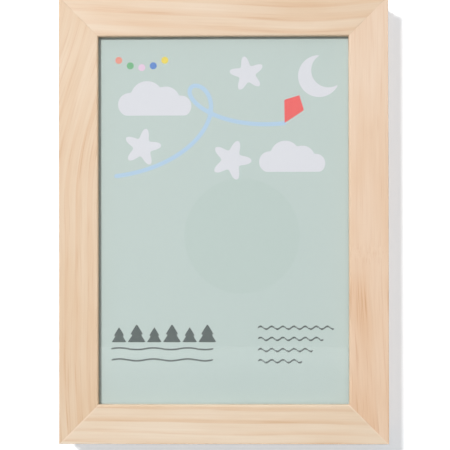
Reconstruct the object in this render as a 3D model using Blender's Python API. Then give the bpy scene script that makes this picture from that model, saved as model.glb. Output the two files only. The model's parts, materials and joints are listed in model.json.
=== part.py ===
"""Child's art frame for the wall, with a door at the front and a shallow box behind for more sheets.

The door is a mitred pine frame that shows one sheet of paper behind a clear pane. It swings on two
butt hinges at its left, and two magnets hold it shut against the box. The box is as wide and as tall
as the door, and a V-groove runs round the seam between them: the barrels of the hinges lie in it at
the left, and fingers find it at the right.
Lengths are in metres, +Z is up and the front faces -Y. The origin is on the wall plane, at the
middle notch of the hanger.
"""

import math

import bmesh
import bpy
from mathutils import Vector

# Clearances
seat_gap = 0.0003  # between pieces that touch
running_gap = 0.0005  # between pieces that pass each other
cut_overrun = 0.0010  # how far a cutter runs past the face it opens

# The sheet, and what lies in the door's rabbet
paper_width = 0.2100
paper_height = 0.2970
paper_thickness = 0.0003
pane_thickness = 0.0015
backing_thickness = 0.0030
rabbet_play = 0.0005  # beside the sheet, pane and backing

# The door's members
lip_lap_sides = 0.0099  # how far the lip laps over the sheet at its sides
lip_lap_ends = 0.0088  # and at its top and bottom
lip_depth = 0.0045
arris_radius = 0.0008
inner_arris_radius = 0.0013  # round the opening
mitre_gap = 0.0003
seam_chamfer = 0.0030  # each side of the groove round the seam

# V-nails across the mitres
v_nail_leg = 0.0060
v_nail_wall = 0.0006
v_nail_height = 0.0080
v_nail_place_share = 0.25  # of the land behind the rabbet, from the rabbet outwards

# Turn buttons on the door's back
button_radius = 0.0035
button_tip_radius = 0.0025
button_lap = 0.0050  # from the rabbet's edge to the tip's centre
button_thickness = 0.0012
button_rise_share = 0.42  # of the rabbet's half height
button_screw_head_radius = 0.0027
button_screw_head_height = 0.0013
button_screw_radius = 0.0012
button_screw_length = 0.0085

# The box behind the door
case_wall = 0.0115
storage_depth = 0.0170
panel_thickness = 0.0030
panel_inset = 0.0035  # leaves room for the hanger in front of the wall
panel_bearing = 0.0035  # how far the panel laps over each wall
panel_pin_radius = 0.0006
panel_pin_head_radius = 0.0011
panel_pin_head_height = 0.0005
panel_pin_length = 0.0090
panel_pin_rise_share = 0.5  # of the box's half height, on its sides
brad_radius = 0.0006
brad_head_radius = 0.0010
brad_head_height = 0.0005
brad_length = 0.0160
brad_rise_share = 0.55  # of the wall, from its inner face outwards

# Elastic strap across the stored sheets
strap_width = 0.0100
strap_thickness = 0.0008
strap_tail = 0.0080  # folded back along each side
staple_wire = 0.0006
staple_span = 0.0060
staple_leg = 0.0050
staple_place_share = 0.6  # of the tail, from the fold

# Hinges
barrel_radius = 0.0020
hinge_pin_radius = 0.0008
barrel_bore_gap = 0.0003
leaf_thickness = 0.0010
leaf_width = 0.0080  # from the barrel's axis
hinge_height = 0.0280
knuckle_share = 0.4  # of the hinge's height, for the door's knuckle
knuckle_cover = 0.0002  # how far the wood stands out past the barrels
hinge_rise_share = 0.62  # of the box's half height
hinge_screw_head_radius = 0.0018
hinge_screw_radius = 0.0009
hinge_screw_length = 0.0075
hinge_screw_across_share = 0.62  # of the leaf's width, from the barrel's axis
hinge_screw_rise_share = 0.62  # of the hinge's half height

# Catch
magnet_radius = 0.0020
magnet_depth = 0.0030
catch_rise_share = 0.72  # of the box's half height
strike_radius = 0.0040
strike_thickness = 0.0010
strike_screw_head_radius = 0.0018
strike_screw_radius = 0.0009
strike_screw_length = 0.0070

# Hanger on the back panel
hanger_length = 0.0440
hanger_height = 0.0090
hanger_thickness = 0.0008
hanger_rise = 0.0012  # how far its middle stands off the panel
hanger_foot = 0.0080  # flat end that takes the rivet
hanger_ramp = 0.0015
hanger_tooth = 0.0012
hanger_teeth = 9
hanger_drop = 0.0160  # from the box's inner top face down to the notches
rivet_radius = 0.0012
rivet_head_radius = 0.0023
rivet_head_height = 0.0008
rivet_clinch_radius = 0.0017
rivet_clinch_height = 0.0005

# Shapes of small pieces
shank_share = 0.7  # of a screw's or nail's length, before its point
fine_facets = 24
small_facets = 12
arris_facets = 3
dome_facets = 3
merge_share = 0.01  # of the gap between pieces, under which two corners are one

# Worked out from the sizes above: the door, from its opening outwards
opening_half_width = paper_width / 2 - lip_lap_sides
opening_half_height = paper_height / 2 - lip_lap_ends
rabbet_half_width = paper_width / 2 + rabbet_play
rabbet_half_height = paper_height / 2 + rabbet_play
button_pivot_x = rabbet_half_width + running_gap + button_radius
case_inner_half_width = button_pivot_x + button_radius + running_gap
half_width = case_inner_half_width + case_wall
face_width = half_width - opening_half_width
half_height = opening_half_height + face_width
case_inner_half_height = half_height - case_wall
door_depth = lip_depth + pane_thickness + paper_thickness + backing_thickness + 3 * seat_gap

# Places through the depth, from the wall forwards
panel_back_y = -panel_inset
panel_front_y = panel_back_y - panel_thickness
strap_back_y = panel_front_y - storage_depth
strap_front_y = strap_back_y - strap_thickness
button_room = 2 * seat_gap + button_thickness + button_screw_head_height + running_gap
door_back_y = strap_front_y - button_room
door_front_y = door_back_y - door_depth
case_front_y = door_back_y + seat_gap

# Heights from the frame's middle, and where that middle lies below the origin
hook_rise = case_inner_half_height - hanger_drop
middle = Vector((0, 0, -hook_rise))
hinge_rise = hinge_rise_share * half_height
catch_rise = catch_rise_share * half_height
button_rise = button_rise_share * rabbet_half_height

# The axis of the hinges
hinge_x = -(half_width - knuckle_cover - barrel_radius)
hinge_y = (door_back_y + case_front_y) / 2
hinge_axis = middle + Vector((hinge_x, hinge_y, 0))

FORWARD = Vector((0, -1, 0))
BACKWARD = Vector((0, 1, 0))
RIGHT = Vector((1, 0, 0))
UP = Vector((0, 0, 1))

# Linear colour, roughness, and metallic where it isn't zero
GUIDE = ((1.0, 0.2, 0.1), 0.5)
PINE = ((0.78, 0.60, 0.40), 0.55)
CASE_PINE = ((0.76, 0.58, 0.38), 0.6)
CLEAR = ((0.90, 0.93, 0.92), 0.05)
PAPER = ((0.54, 0.64, 0.59), 0.8)
HARDBOARD = ((0.30, 0.19, 0.10), 0.7)
STEEL = ((0.55, 0.55, 0.56), 0.35, 1.0)
BRASS = ((0.72, 0.52, 0.24), 0.35, 1.0)
ELASTIC = ((0.85, 0.84, 0.80), 0.9)


def finish(name, colour, roughness, metallic=0.0):
    """A plain material of one colour."""
    material = bpy.data.materials.new(name)
    material.use_nodes = True
    shader = material.node_tree.nodes["Principled BSDF"]
    shader.inputs["Base Color"].default_value = (*colour, 1)
    shader.inputs["Roughness"].default_value = roughness
    shader.inputs["Metallic"].default_value = metallic
    return material


def add(name, shape, place, look, pivot=None, smooth=False):
    """A named object made from a shape, with its origin at place. It hangs on pivot if there is one."""
    bmesh.ops.recalc_face_normals(shape, faces=shape.faces)
    mesh = bpy.data.meshes.new(name)
    shape.to_mesh(mesh)
    shape.free()
    piece = bpy.data.objects.new(name, mesh)
    bpy.context.scene.collection.objects.link(piece)
    mesh.materials.append(finish(name, *look))
    if smooth:
        mesh.shade_smooth()
        mesh.set_sharp_from_angle(angle=math.radians(40))
    piece.location = place
    if pivot is not None:
        piece.parent = pivot
        piece.location = place - pivot.location
    return piece


def cutter(name, shape, place):
    """A shape that is only used to cut others."""
    piece = add(name, shape, place, look=GUIDE)
    piece.hide_render = True
    piece.display_type = "WIRE"
    return piece


def cut(piece, *cutters):
    for tool in cutters:
        change = piece.modifiers.new(tool.name, "BOOLEAN")
        change.operation = "DIFFERENCE"
        change.object = tool


def extruded(outline, axis, start, end):
    """A prism. The outline's pairs are its places along the two other axes, in the order X, Y, Z."""
    shape = bmesh.new()
    corners = []
    for first, second in outline:
        place = [first, second]
        place.insert(axis, start)
        corners.append(shape.verts.new(place))
    base = shape.faces.new(corners)
    made = bmesh.ops.extrude_face_region(shape, geom=[base])["geom"]
    moved = [part for part in made if isinstance(part, bmesh.types.BMVert)]
    travel = [0, 0, 0]
    travel[axis] = end - start
    bmesh.ops.translate(shape, verts=moved, vec=travel)
    return shape


def block(low, high):
    """A box between two corners."""
    outline = [(low[0], low[2]), (high[0], low[2]), (high[0], high[2]), (low[0], high[2])]
    return extruded(outline, 1, low[1], high[1])


def turned(profile, direction, facets):
    """A solid of revolution. The profile's pairs are the radius and the distance along direction."""
    shape = bmesh.new()
    points = [shape.verts.new((radius, 0, along)) for radius, along in profile]
    edges = [shape.edges.new(pair) for pair in zip(points, points[1:])]
    bmesh.ops.spin(
        shape,
        geom=points + edges,
        cent=(0, 0, 0),
        axis=(0, 0, 1),
        angle=math.tau,
        steps=facets,
        use_merge=True,
    )
    bmesh.ops.remove_doubles(shape, verts=shape.verts, dist=seat_gap * merge_share)
    turn = UP.rotation_difference(direction).to_matrix().to_4x4()
    bmesh.ops.transform(shape, matrix=turn, verts=shape.verts)
    return shape


def rod(radius, start, end, direction, facets):
    return turned([(0, start), (radius, start), (radius, end), (0, end)], direction, facets)


def arc(centre_x, centre_y, radius, start_deg, end_deg, facets):
    """Points on an arc, both ends included."""
    points = []
    for step in range(facets + 1):
        angle = math.radians(start_deg + (end_deg - start_deg) * step / facets)
        points.append((centre_x + radius * math.cos(angle), centre_y + radius * math.sin(angle)))
    return points


def mitred(profile, inner, half_length, side):
    """A frame member with both ends mitred, for side left, right, top or bottom.

    The profile's pairs are the distance outwards from the frame's inner edge and the place along Y.
    inner is that edge's distance from the middle of the frame and half_length is half its length,
    to which the mitres add what lies outwards.
    """
    shape = bmesh.new()
    half_gap = mitre_gap / math.sqrt(2)
    ends = []
    for end in (-1, 1):
        ring = []
        for out, y in profile:
            along = end * (half_length + out - half_gap)
            across = inner + out
            if side in ("left", "bottom"):
                across = -across
            place = (across, y, along) if side in ("left", "right") else (along, y, across)
            ring.append(shape.verts.new(place))
        ends.append(ring)
        shape.faces.new(ring)
    count = len(profile)
    for step in range(count):
        after = (step + 1) % count
        shape.faces.new((ends[0][step], ends[0][after], ends[1][after], ends[1][step]))
    return shape


def screw_profile(head_radius, head_depth, radius, length, spare=0.0):
    """A countersunk screw from its flush head down. spare makes it larger all round, as its hole."""
    return [
        (0, -spare),
        (head_radius + spare, -spare),
        (head_radius + spare, 0),
        (radius + spare, head_depth),
        (radius + spare, length * shank_share + spare),
        (0, length + spare),
    ]


def nail_profile(head_radius, head_depth, radius, length, spare=0.0):
    """A flat-headed nail from its flush head down. spare makes it larger all round, as its hole."""
    return [
        (0, -spare),
        (head_radius + spare, -spare),
        (head_radius + spare, head_depth + spare),
        (radius + spare, head_depth + spare),
        (radius + spare, length * shank_share + spare),
        (0, length + spare),
    ]


def dome(radius, height):
    """The profile of a domed head that stands out before zero."""
    points = []
    for step in range(dome_facets + 1):
        angle = math.radians(90 * step / dome_facets)
        points.append((radius * math.sin(angle), -height * math.cos(angle)))
    return points


def clear_scene():
    for thing in list(bpy.data.objects):
        bpy.data.objects.remove(thing, do_unlink=True)


def door_members(pivot):
    """The four mitred members: a rabbet behind the lip, eased front arrises and half of the groove."""
    members = {}
    for side in ("left", "right", "top", "bottom"):
        upright = side in ("left", "right")
        lap = lip_lap_sides if upright else lip_lap_ends
        inner = opening_half_width if upright else opening_half_height
        length = opening_half_height if upright else opening_half_width
        rabbet = lap + rabbet_play
        soft = inner_arris_radius
        front = door_front_y
        outline = arc(soft, front + soft, soft, 180, 270, arris_facets)
        soft = arris_radius
        outline += arc(face_width - soft, front + soft, soft, 270, 360, arris_facets)
        outline += [(face_width, door_back_y - seam_chamfer), (face_width - seam_chamfer, door_back_y)]
        outline += [(rabbet, door_back_y), (rabbet, front + lip_depth), (0, front + lip_depth)]
        name = f"door_stile_{side}" if upright else f"door_rail_{side}"
        members[side] = add(name, mitred(outline, inner, length, side), middle, PINE, pivot)
    return members


def door_filling(pivot):
    """The pane, the sheet and the backing, laid into the rabbet one behind the other."""
    front = door_front_y + lip_depth + seat_gap
    layers = (
        ("window_pane", pane_thickness, CLEAR),
        ("display_sheet", paper_thickness, PAPER),
        ("door_backing", backing_thickness, HARDBOARD),
    )
    for name, thickness, look in layers:
        low = (-paper_width / 2, front, -paper_height / 2)
        high = (paper_width / 2, front + thickness, paper_height / 2)
        add(name, block(low, high), middle, look, pivot)
        front += thickness + seat_gap


def v_nails(members, pivot):
    """A bent steel strip across each mitre: one leg in the stile and one in the rail."""
    rabbet = lip_lap_sides + rabbet_play
    inset = rabbet + v_nail_place_share * (face_width - rabbet)
    for side, across in (("left", -1), ("right", 1)):
        for end, up in (("bottom", -1), ("top", 1)):
            x = across * (opening_half_width + inset)
            z = up * (opening_half_height + inset)
            place = middle + Vector((x, door_back_y, z))
            name = f"v_nail_{end}_{side}"
            add(name, bent_strip(across, up), place, STEEL, pivot)
            slot = cutter(name + "_slot", bent_strip(across, up, spare=seat_gap), place)
            cut(members[side], slot)
            cut(members[end], slot)


def bent_strip(across, up, spare=0.0):
    """A V-nail, one leg along X and one along Z. spare makes it larger all round, as its slot."""
    near = -v_nail_wall / 2 - spare
    far = v_nail_wall / 2 + spare
    tip = v_nail_leg + spare
    outline = [(near, near), (tip, near), (tip, far), (far, far), (far, tip), (near, tip)]
    outline = [(across * x, up * z) for x, z in outline]
    return extruded(outline, 1, -v_nail_height - spare, spare)


def turn_buttons(members, pivot):
    """A flat button on each of four screws. Its tip laps over the backing."""
    reach = button_lap + running_gap + button_radius
    slant = math.degrees(math.asin((button_radius - button_tip_radius) / reach))
    outline = arc(0, 0, button_radius, 90 - slant, 270 + slant, fine_facets // 2)
    outline += arc(reach, 0, button_tip_radius, slant - 90, 90 - slant, fine_facets // 2)
    head = (button_screw_head_radius, button_screw_head_height)
    for side, across in (("left", -1), ("right", 1)):
        for end, up in (("lower", -1), ("upper", 1)):
            x = across * button_pivot_x
            place = middle + Vector((x, door_back_y + seat_gap, up * button_rise))
            name = f"turn_button_{end}_{side}"
            turned_outline = [(-across * x, z) for x, z in outline]
            plate = extruded(turned_outline, 1, 0, button_thickness)
            button = add(name, plate, place, BRASS, pivot, smooth=True)
            hole = rod(
                button_screw_radius + seat_gap,
                -cut_overrun,
                button_thickness + cut_overrun,
                BACKWARD,
                small_facets,
            )
            cut(button, cutter(name + "_hole", hole, place))
            shank = button_screw_radius
            profile = dome(*head) + [(shank, 0), (shank, button_screw_length * shank_share)]
            profile.append((0, button_screw_length))
            under_head = place + Vector((0, button_thickness + seat_gap, 0))
            add(
                name.replace("turn_button", "turn_button_screw"),
                turned(profile, FORWARD, small_facets),
                under_head,
                BRASS,
                pivot,
                smooth=True,
            )
            pilot = rod(
                button_screw_radius + seat_gap,
                -cut_overrun,
                button_screw_length + seat_gap,
                FORWARD,
                small_facets,
            )
            cut(members[side], cutter(name + "_pilot", pilot, under_head))


def case_members():
    """The box's four mitred walls: a rabbet at the back for the panel and half of the groove in front."""
    members = {}
    for side in ("left", "right", "top", "bottom"):
        upright = side in ("left", "right")
        inner = case_inner_half_width if upright else case_inner_half_height
        length = case_inner_half_height if upright else case_inner_half_width
        seat = panel_front_y - seat_gap
        outline = [
            (0, case_front_y),
            (case_wall - seam_chamfer, case_front_y),
            (case_wall, case_front_y + seam_chamfer),
            (case_wall, 0),
            (panel_bearing, 0),
            (panel_bearing, seat),
            (0, seat),
        ]
        name = f"case_side_{side}" if upright else f"case_rail_{side}"
        members[side] = add(name, mitred(outline, inner, length, side), middle, CASE_PINE)
    return members


def corner_brads(members):
    """A brad through each side into the end of the rail that it meets."""
    rise = case_inner_half_height + brad_rise_share * case_wall
    y = (case_front_y + panel_front_y) / 2
    sizes = (brad_head_radius, brad_head_height, brad_radius, brad_length)
    for side, across in (("left", -1), ("right", 1)):
        inwards = -across * RIGHT
        for end, up in (("bottom", -1), ("top", 1)):
            place = middle + Vector((across * half_width, y, up * rise))
            name = f"corner_brad_{end}_{side}"
            nail = turned(nail_profile(*sizes), inwards, small_facets)
            add(name, nail, place, STEEL, smooth=True)
            hole = turned(nail_profile(*sizes, spare=seat_gap), inwards, small_facets)
            hole = cutter(name + "_hole", hole, place)
            cut(members[side], hole)
            cut(members[end], hole)


def back_panel(members):
    """The hardboard back with its pins. It also takes the hanger's rivets."""
    out_x = case_inner_half_width + panel_bearing - seat_gap
    out_z = case_inner_half_height + panel_bearing - seat_gap
    low = (-out_x, panel_front_y, -out_z)
    high = (out_x, panel_back_y, out_z)
    panel = add("back_panel", block(low, high), middle, HARDBOARD)
    shoulder_x = case_inner_half_width + panel_bearing / 2
    shoulder_z = case_inner_half_height + panel_bearing / 2
    rise = panel_pin_rise_share * half_height
    places = {
        "upper_left": ("left", -shoulder_x, rise),
        "lower_left": ("left", -shoulder_x, -rise),
        "upper_right": ("right", shoulder_x, rise),
        "lower_right": ("right", shoulder_x, -rise),
        "top": ("top", 0, shoulder_z),
        "bottom": ("bottom", 0, -shoulder_z),
    }
    sizes = (panel_pin_head_radius, panel_pin_head_height, panel_pin_radius, panel_pin_length)
    for word, (side, x, z) in places.items():
        place = middle + Vector((x, panel_back_y, z))
        name = f"panel_pin_{word}"
        nail = turned(nail_profile(*sizes), FORWARD, small_facets)
        add(name, nail, place, STEEL, smooth=True)
        hole = turned(nail_profile(*sizes, spare=seat_gap), FORWARD, small_facets)
        hole = cutter(name + "_hole", hole, place)
        cut(panel, hole)
        cut(members[side], hole)
    return panel


def storage_strap(members):
    """A flat elastic across the stored sheets, its ends folded back along the sides and stapled."""
    out = case_inner_half_width - seat_gap
    inner = out - strap_thickness
    tail_y = strap_back_y + strap_tail
    outline = [
        (-out, strap_front_y),
        (out, strap_front_y),
        (out, tail_y),
        (inner, tail_y),
        (inner, strap_back_y),
        (-inner, strap_back_y),
        (-inner, tail_y),
        (-out, tail_y),
    ]
    strap = add("storage_strap", extruded(outline, 2, -strap_width / 2, strap_width / 2), middle, ELASTIC)
    y = strap_back_y + staple_place_share * strap_tail
    for side, across in (("left", -1), ("right", 1)):
        place = middle + Vector((across * (inner - seat_gap - staple_wire), y, 0))
        name = f"strap_staple_{side}"
        add(name, staple(across), place, STEEL)
        slot = cutter(name + "_slot", staple(across, spare=seat_gap), place)
        cut(strap, slot)
        cut(members[side], slot)


def staple(across, spare=0.0):
    """A square wire bent to a U, with its legs towards the side across. spare is as for a screw."""
    wide = staple_span / 2 + spare
    narrow = staple_span / 2 - staple_wire - spare
    reach = staple_leg + spare
    crown = staple_wire + spare
    outline = [(-spare, -wide), (reach, -wide), (reach, -narrow), (crown, -narrow)]
    outline += [(crown, narrow), (reach, narrow), (reach, wide), (-spare, wide)]
    outline = [(across * x, z) for x, z in outline]
    half = staple_wire / 2 + spare
    return extruded(outline, 1, -half, half)


def butt_hinges(door, case, pivot):
    """Two hinges let into the seam: a leaf in the door's back, one in the box's front edge, and a pin."""
    knuckle = knuckle_share * hinge_height / 2
    half = hinge_height / 2
    notch = barrel_radius + seat_gap
    near = seat_gap / 2
    door_outline = [(notch, -half), (leaf_width, -half), (leaf_width, half), (notch, half)]
    door_outline += [(notch, knuckle), (0, knuckle), (0, -knuckle), (notch, -knuckle)]
    case_outline = [(0, -half), (leaf_width, -half), (leaf_width, half), (0, half)]
    case_outline += [(0, knuckle + seat_gap), (notch, knuckle + seat_gap)]
    case_outline += [(notch, -knuckle - seat_gap), (0, -knuckle - seat_gap)]
    across = hinge_screw_across_share * leaf_width
    for end, up in (("lower", -1), ("upper", 1)):
        place = hinge_axis + Vector((0, 0, up * hinge_rise))
        plate = extruded(door_outline, 1, -near - leaf_thickness, -near)
        door_leaf = add(f"hinge_{end}_door_leaf", plate, place, BRASS, pivot, smooth=True)
        join(door_leaf, cutter(door_leaf.name + "_barrel", barrel(-knuckle, knuckle), place))
        plate = extruded(case_outline, 1, near, near + leaf_thickness)
        case_leaf = add(f"hinge_{end}_case_leaf", plate, place, BRASS, smooth=True)
        for word, low, high in (("low", -half, -knuckle - seat_gap), ("high", knuckle + seat_gap, half)):
            join(case_leaf, cutter(f"{case_leaf.name}_{word}_barrel", barrel(low, high), place))

        bore_radius = hinge_pin_radius + barrel_bore_gap
        bore = rod(bore_radius, -half - cut_overrun, half + cut_overrun, UP, small_facets)
        bore = cutter(f"hinge_{end}_bore", bore, place)
        cut(door_leaf, bore)
        cut(case_leaf, bore)
        pin = rod(hinge_pin_radius, -half, half, UP, small_facets)
        add(f"hinge_{end}_pin", pin, place, STEEL, smooth=True)

        for holder, leaf, front, screw in (
            (door, door_leaf, -1, FORWARD),
            (case, case_leaf, 1, BACKWARD),
        ):
            for word, out, depth in (("leaf", leaf_width, near + leaf_thickness), ("barrel", notch, notch)):
                depth += seat_gap
                ends = sorted((-front * cut_overrun, front * depth))
                low = (-barrel_radius - knuckle_cover - cut_overrun, ends[0], -half - seat_gap)
                high = (out + seat_gap, ends[1], half + seat_gap)
                cut(holder, cutter(f"{leaf.name}_{word}_pocket", block(low, high), place))
            for word, rise in (("low", -1), ("high", 1)):
                z = rise * hinge_screw_rise_share * half
                at = place + Vector((across, front * near, z))
                name = leaf.name.replace("leaf", f"screw_{word}")
                countersunk(name, at, screw, (leaf, holder), pivot if holder is door else None)


def barrel(low, high):
    """One knuckle, before it is bored."""
    return rod(barrel_radius, low, high, UP, fine_facets)


def join(piece, other):
    """Unites a piece with a helper shape, so that the two are one body."""
    change = piece.modifiers.new(other.name, "BOOLEAN")
    change.operation = "UNION"
    change.object = other


def countersunk(name, place, direction, holders, pivot):
    """A hinge screw, and its hole through each piece that it holds."""
    sizes = (hinge_screw_head_radius, leaf_thickness, hinge_screw_radius, hinge_screw_length)
    add(name, turned(screw_profile(*sizes), direction, small_facets), place, BRASS, pivot, smooth=True)
    hole = turned(screw_profile(*sizes, spare=seat_gap), direction, small_facets)
    hole = cutter(name + "_hole", hole, place)
    for holder in holders:
        cut(holder, hole)


def catches(door, case, pivot):
    """Magnets in the front edge of the box's right side, and steel plates in the door facing them."""
    x = half_width - (case_wall + seam_chamfer) / 2
    for end, up in (("lower", -1), ("upper", 1)):
        place = middle + Vector((x, case_front_y, up * catch_rise))
        magnet = rod(magnet_radius, 0, magnet_depth, BACKWARD, fine_facets)
        add(f"magnet_{end}", magnet, place, STEEL, smooth=True)
        hole = rod(magnet_radius + seat_gap, -cut_overrun, magnet_depth + seat_gap, BACKWARD, fine_facets)
        cut(case, cutter(f"magnet_{end}_hole", hole, place))

        place = middle + Vector((x, door_back_y, up * catch_rise))
        plate = rod(strike_radius, 0, strike_thickness, FORWARD, fine_facets)
        plate = add(f"strike_plate_{end}", plate, place, STEEL, pivot, smooth=True)
        pocket = rod(
            strike_radius + seat_gap, -cut_overrun, strike_thickness + seat_gap, FORWARD, fine_facets
        )
        cut(door, cutter(f"strike_plate_{end}_pocket", pocket, place))
        sizes = (strike_screw_head_radius, strike_thickness, strike_screw_radius, strike_screw_length)
        screw = turned(screw_profile(*sizes), FORWARD, small_facets)
        add(f"strike_screw_{end}", screw, place, STEEL, pivot, smooth=True)
        hole = turned(screw_profile(*sizes, spare=seat_gap), FORWARD, small_facets)
        hole = cutter(f"strike_screw_{end}_hole", hole, place)
        cut(plate, hole)
        cut(door, hole)


def wall_hanger(panel):
    """A toothed steel strip, raised in its middle, riveted to the back panel by its two flat feet.

    The strip is a row of cross sections along X. Each has four corners, and the lower edge steps
    between notch and tip across the raised middle, so the nail sits in the middle notch.
    """
    half = hanger_length / 2
    raised = half - hanger_foot - hanger_ramp
    stations = [(-half, 0, 0), (-half + hanger_foot, 0, 0)]
    for step in range(2 * hanger_teeth + 1):
        place = -raised + 2 * raised * step / (2 * hanger_teeth)
        stations.append((place, hanger_rise, hanger_tooth if step % 2 else 0))
    stations += [(half - hanger_foot, 0, 0), (half, 0, 0)]
    shape = bmesh.new()
    rings = []
    for x, stand, notch in stations:
        back = panel_back_y + seat_gap + stand
        low = notch - hanger_tooth
        high = hanger_height - hanger_tooth
        face = back + hanger_thickness
        corners = ((x, back, low), (x, face, low), (x, face, high), (x, back, high))
        rings.append([shape.verts.new(corner) for corner in corners])
    for before, after in zip(rings, rings[1:]):
        for step in range(4):
            other = (step + 1) % 4
            shape.faces.new((before[step], before[other], after[other], after[step]))
    shape.faces.new(rings[0])
    shape.faces.new(rings[-1])
    hanger = add("wall_hanger", shape, Vector((0, 0, 0)), STEEL)

    rivet_x = half - hanger_foot / 2
    rivet_z = hanger_height / 2 - hanger_tooth
    head_y = panel_back_y + 2 * seat_gap + hanger_thickness
    clinch_y = panel_front_y - seat_gap
    length = head_y - clinch_y
    head = (rivet_head_radius, rivet_head_height)
    for side, across in (("left", -1), ("right", 1)):
        place = Vector((across * rivet_x, head_y, rivet_z))
        end = length + rivet_clinch_height
        profile = dome(*head) + [(rivet_radius, 0), (rivet_radius, length)]
        profile += [(rivet_clinch_radius, length), (rivet_clinch_radius, end), (0, end)]
        name = f"hanger_rivet_{side}"
        add(name, turned(profile, FORWARD, small_facets), place, STEEL, smooth=True)
        hole = rod(rivet_radius + seat_gap, -cut_overrun, length + cut_overrun, FORWARD, small_facets)
        hole = cutter(name + "_hole", hole, place)
        cut(panel, hole)
        cut(hanger, hole)


def main():
    clear_scene()
    pivot = bpy.data.objects.new("door_pivot", None)
    pivot.location = hinge_axis
    bpy.context.scene.collection.objects.link(pivot)
    door = door_members(pivot)
    door_filling(pivot)
    v_nails(door, pivot)
    turn_buttons(door, pivot)
    case = case_members()
    corner_brads(case)
    panel = back_panel(case)
    storage_strap(case)
    butt_hinges(door["left"], case["left"], pivot)
    catches(door["right"], case["right"], pivot)
    wall_hanger(panel)


main()
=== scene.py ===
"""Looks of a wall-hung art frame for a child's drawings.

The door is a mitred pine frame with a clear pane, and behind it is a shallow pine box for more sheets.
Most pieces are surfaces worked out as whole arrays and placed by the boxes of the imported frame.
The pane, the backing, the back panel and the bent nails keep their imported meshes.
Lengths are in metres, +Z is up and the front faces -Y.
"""

import json

import bmesh
import bpy
import numpy as np
from bpy.props import FloatProperty, FloatVectorProperty, IntProperty, PointerProperty
from mathutils import Matrix, Vector


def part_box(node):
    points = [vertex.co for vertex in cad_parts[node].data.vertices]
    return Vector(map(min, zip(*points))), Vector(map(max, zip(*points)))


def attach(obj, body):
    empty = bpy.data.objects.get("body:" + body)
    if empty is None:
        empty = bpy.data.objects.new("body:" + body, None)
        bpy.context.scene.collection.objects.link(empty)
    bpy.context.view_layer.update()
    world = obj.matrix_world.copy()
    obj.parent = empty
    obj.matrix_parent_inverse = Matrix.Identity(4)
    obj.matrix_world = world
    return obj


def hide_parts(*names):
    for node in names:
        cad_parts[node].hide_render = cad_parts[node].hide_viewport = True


bl_info = {
    "name": "Children's art frame",
    "version": (1, 0, 0),
    "blender": (4, 5, 0),
    "location": "View3D > Sidebar > Art Frame",
    "description": "Dresses a wall-hung pine art frame and its storage box",
    "category": "Object",
}

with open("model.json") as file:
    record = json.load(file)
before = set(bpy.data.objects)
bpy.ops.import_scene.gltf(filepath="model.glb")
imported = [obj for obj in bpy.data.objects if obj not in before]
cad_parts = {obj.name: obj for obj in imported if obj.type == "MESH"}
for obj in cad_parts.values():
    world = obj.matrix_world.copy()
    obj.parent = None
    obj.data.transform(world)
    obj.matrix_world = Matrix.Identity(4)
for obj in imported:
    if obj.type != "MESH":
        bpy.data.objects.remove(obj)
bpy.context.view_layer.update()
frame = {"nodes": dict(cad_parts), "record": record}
body_of = {node: body for body, nodes in frame["record"]["behaviour"]["bodies"].items() for node in nodes}

SIDES = {"left": -1, "right": 1}
ENDS = ("lower", "upper")
LEAF_SIDES = {"door": -1, "case": 1}  # the way along Y from a hinge's pin to its leaf
seat_gap = 0.0003  # between pieces that touch
overrun = 0.0010  # how far a cutter runs past the face it opens
crisp = 0.0001  # rounding of a corner that looks sharp
neck_share = 0.7  # of a screw's or nail's reach, where its point begins
nail_shank = 0.0006  # radius of the brads and panel pins
nail_head = 0.0005  # depth of their heads
sink_spare = 0.00012  # between a screw's head and its countersink
screw_shanks = {"hinge": 0.0009, "strike": 0.0009, "turn": 0.0012}


def tone(red, green, blue):
    """The linear colour of an 8-bit screen colour, by the standard screen curve."""
    level = np.array((red, green, blue)) / 255
    return tuple(np.where(level <= 0.04045, level / 12.92, ((level + 0.055) / 1.055) ** 2.4).tolist())


def colour(name, description, value):
    return FloatVectorProperty(
        name=name, description=description, default=tone(*value), subtype="COLOR", min=0, max=1
    )


def length(name, description, value):
    return FloatProperty(name=name, description=description, default=value, unit="LENGTH", precision=5)


def share(name, description, value):
    return FloatProperty(name=name, description=description, default=value, subtype="FACTOR", min=0, max=1)


def power(name, description, value):
    return FloatProperty(name=name, description=description, default=value, unit="POWER")


class WoodSettings(bpy.types.PropertyGroup):
    inner_arris: length("Inner arris", "Rounding round the opening", 0.0013)
    outer_arris: length("Outer arris", "Rounding of the outer front edge", 0.0005)
    seam_chamfer: length("Seam chamfer", "Each side of the groove round the seam", 0.0030)
    back_ease: length("Back ease", "Rounding of the other edges", 0.0004)
    mitre_gap: length("Mitre gap", "Between the members at their mitres", 0.00002)
    mitre_ease: length("Mitre ease", "Softened edge along each mitre", 0.00005)
    early: colour("Early wood", "Colour of the wide pale rings", (236, 217, 194))
    late: colour("Late wood", "Colour of the narrow dark rings", (226, 194, 160))
    blush: colour("Blush", "Tint that warms a board where it is tan", (242, 226, 208))


class SheetSettings(bpy.types.PropertyGroup):
    ground: colour("Ground", "Colour of the printed ground", (190, 205, 201))
    paper: colour("Paper", "Colour of the bare paper", (240, 240, 236))
    grid: length("Grid", "Step of the surface that carries the print", 0.0010)
    edge: length("Ink edge", "Width over which an ink fades out", 0.00022)


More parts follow.
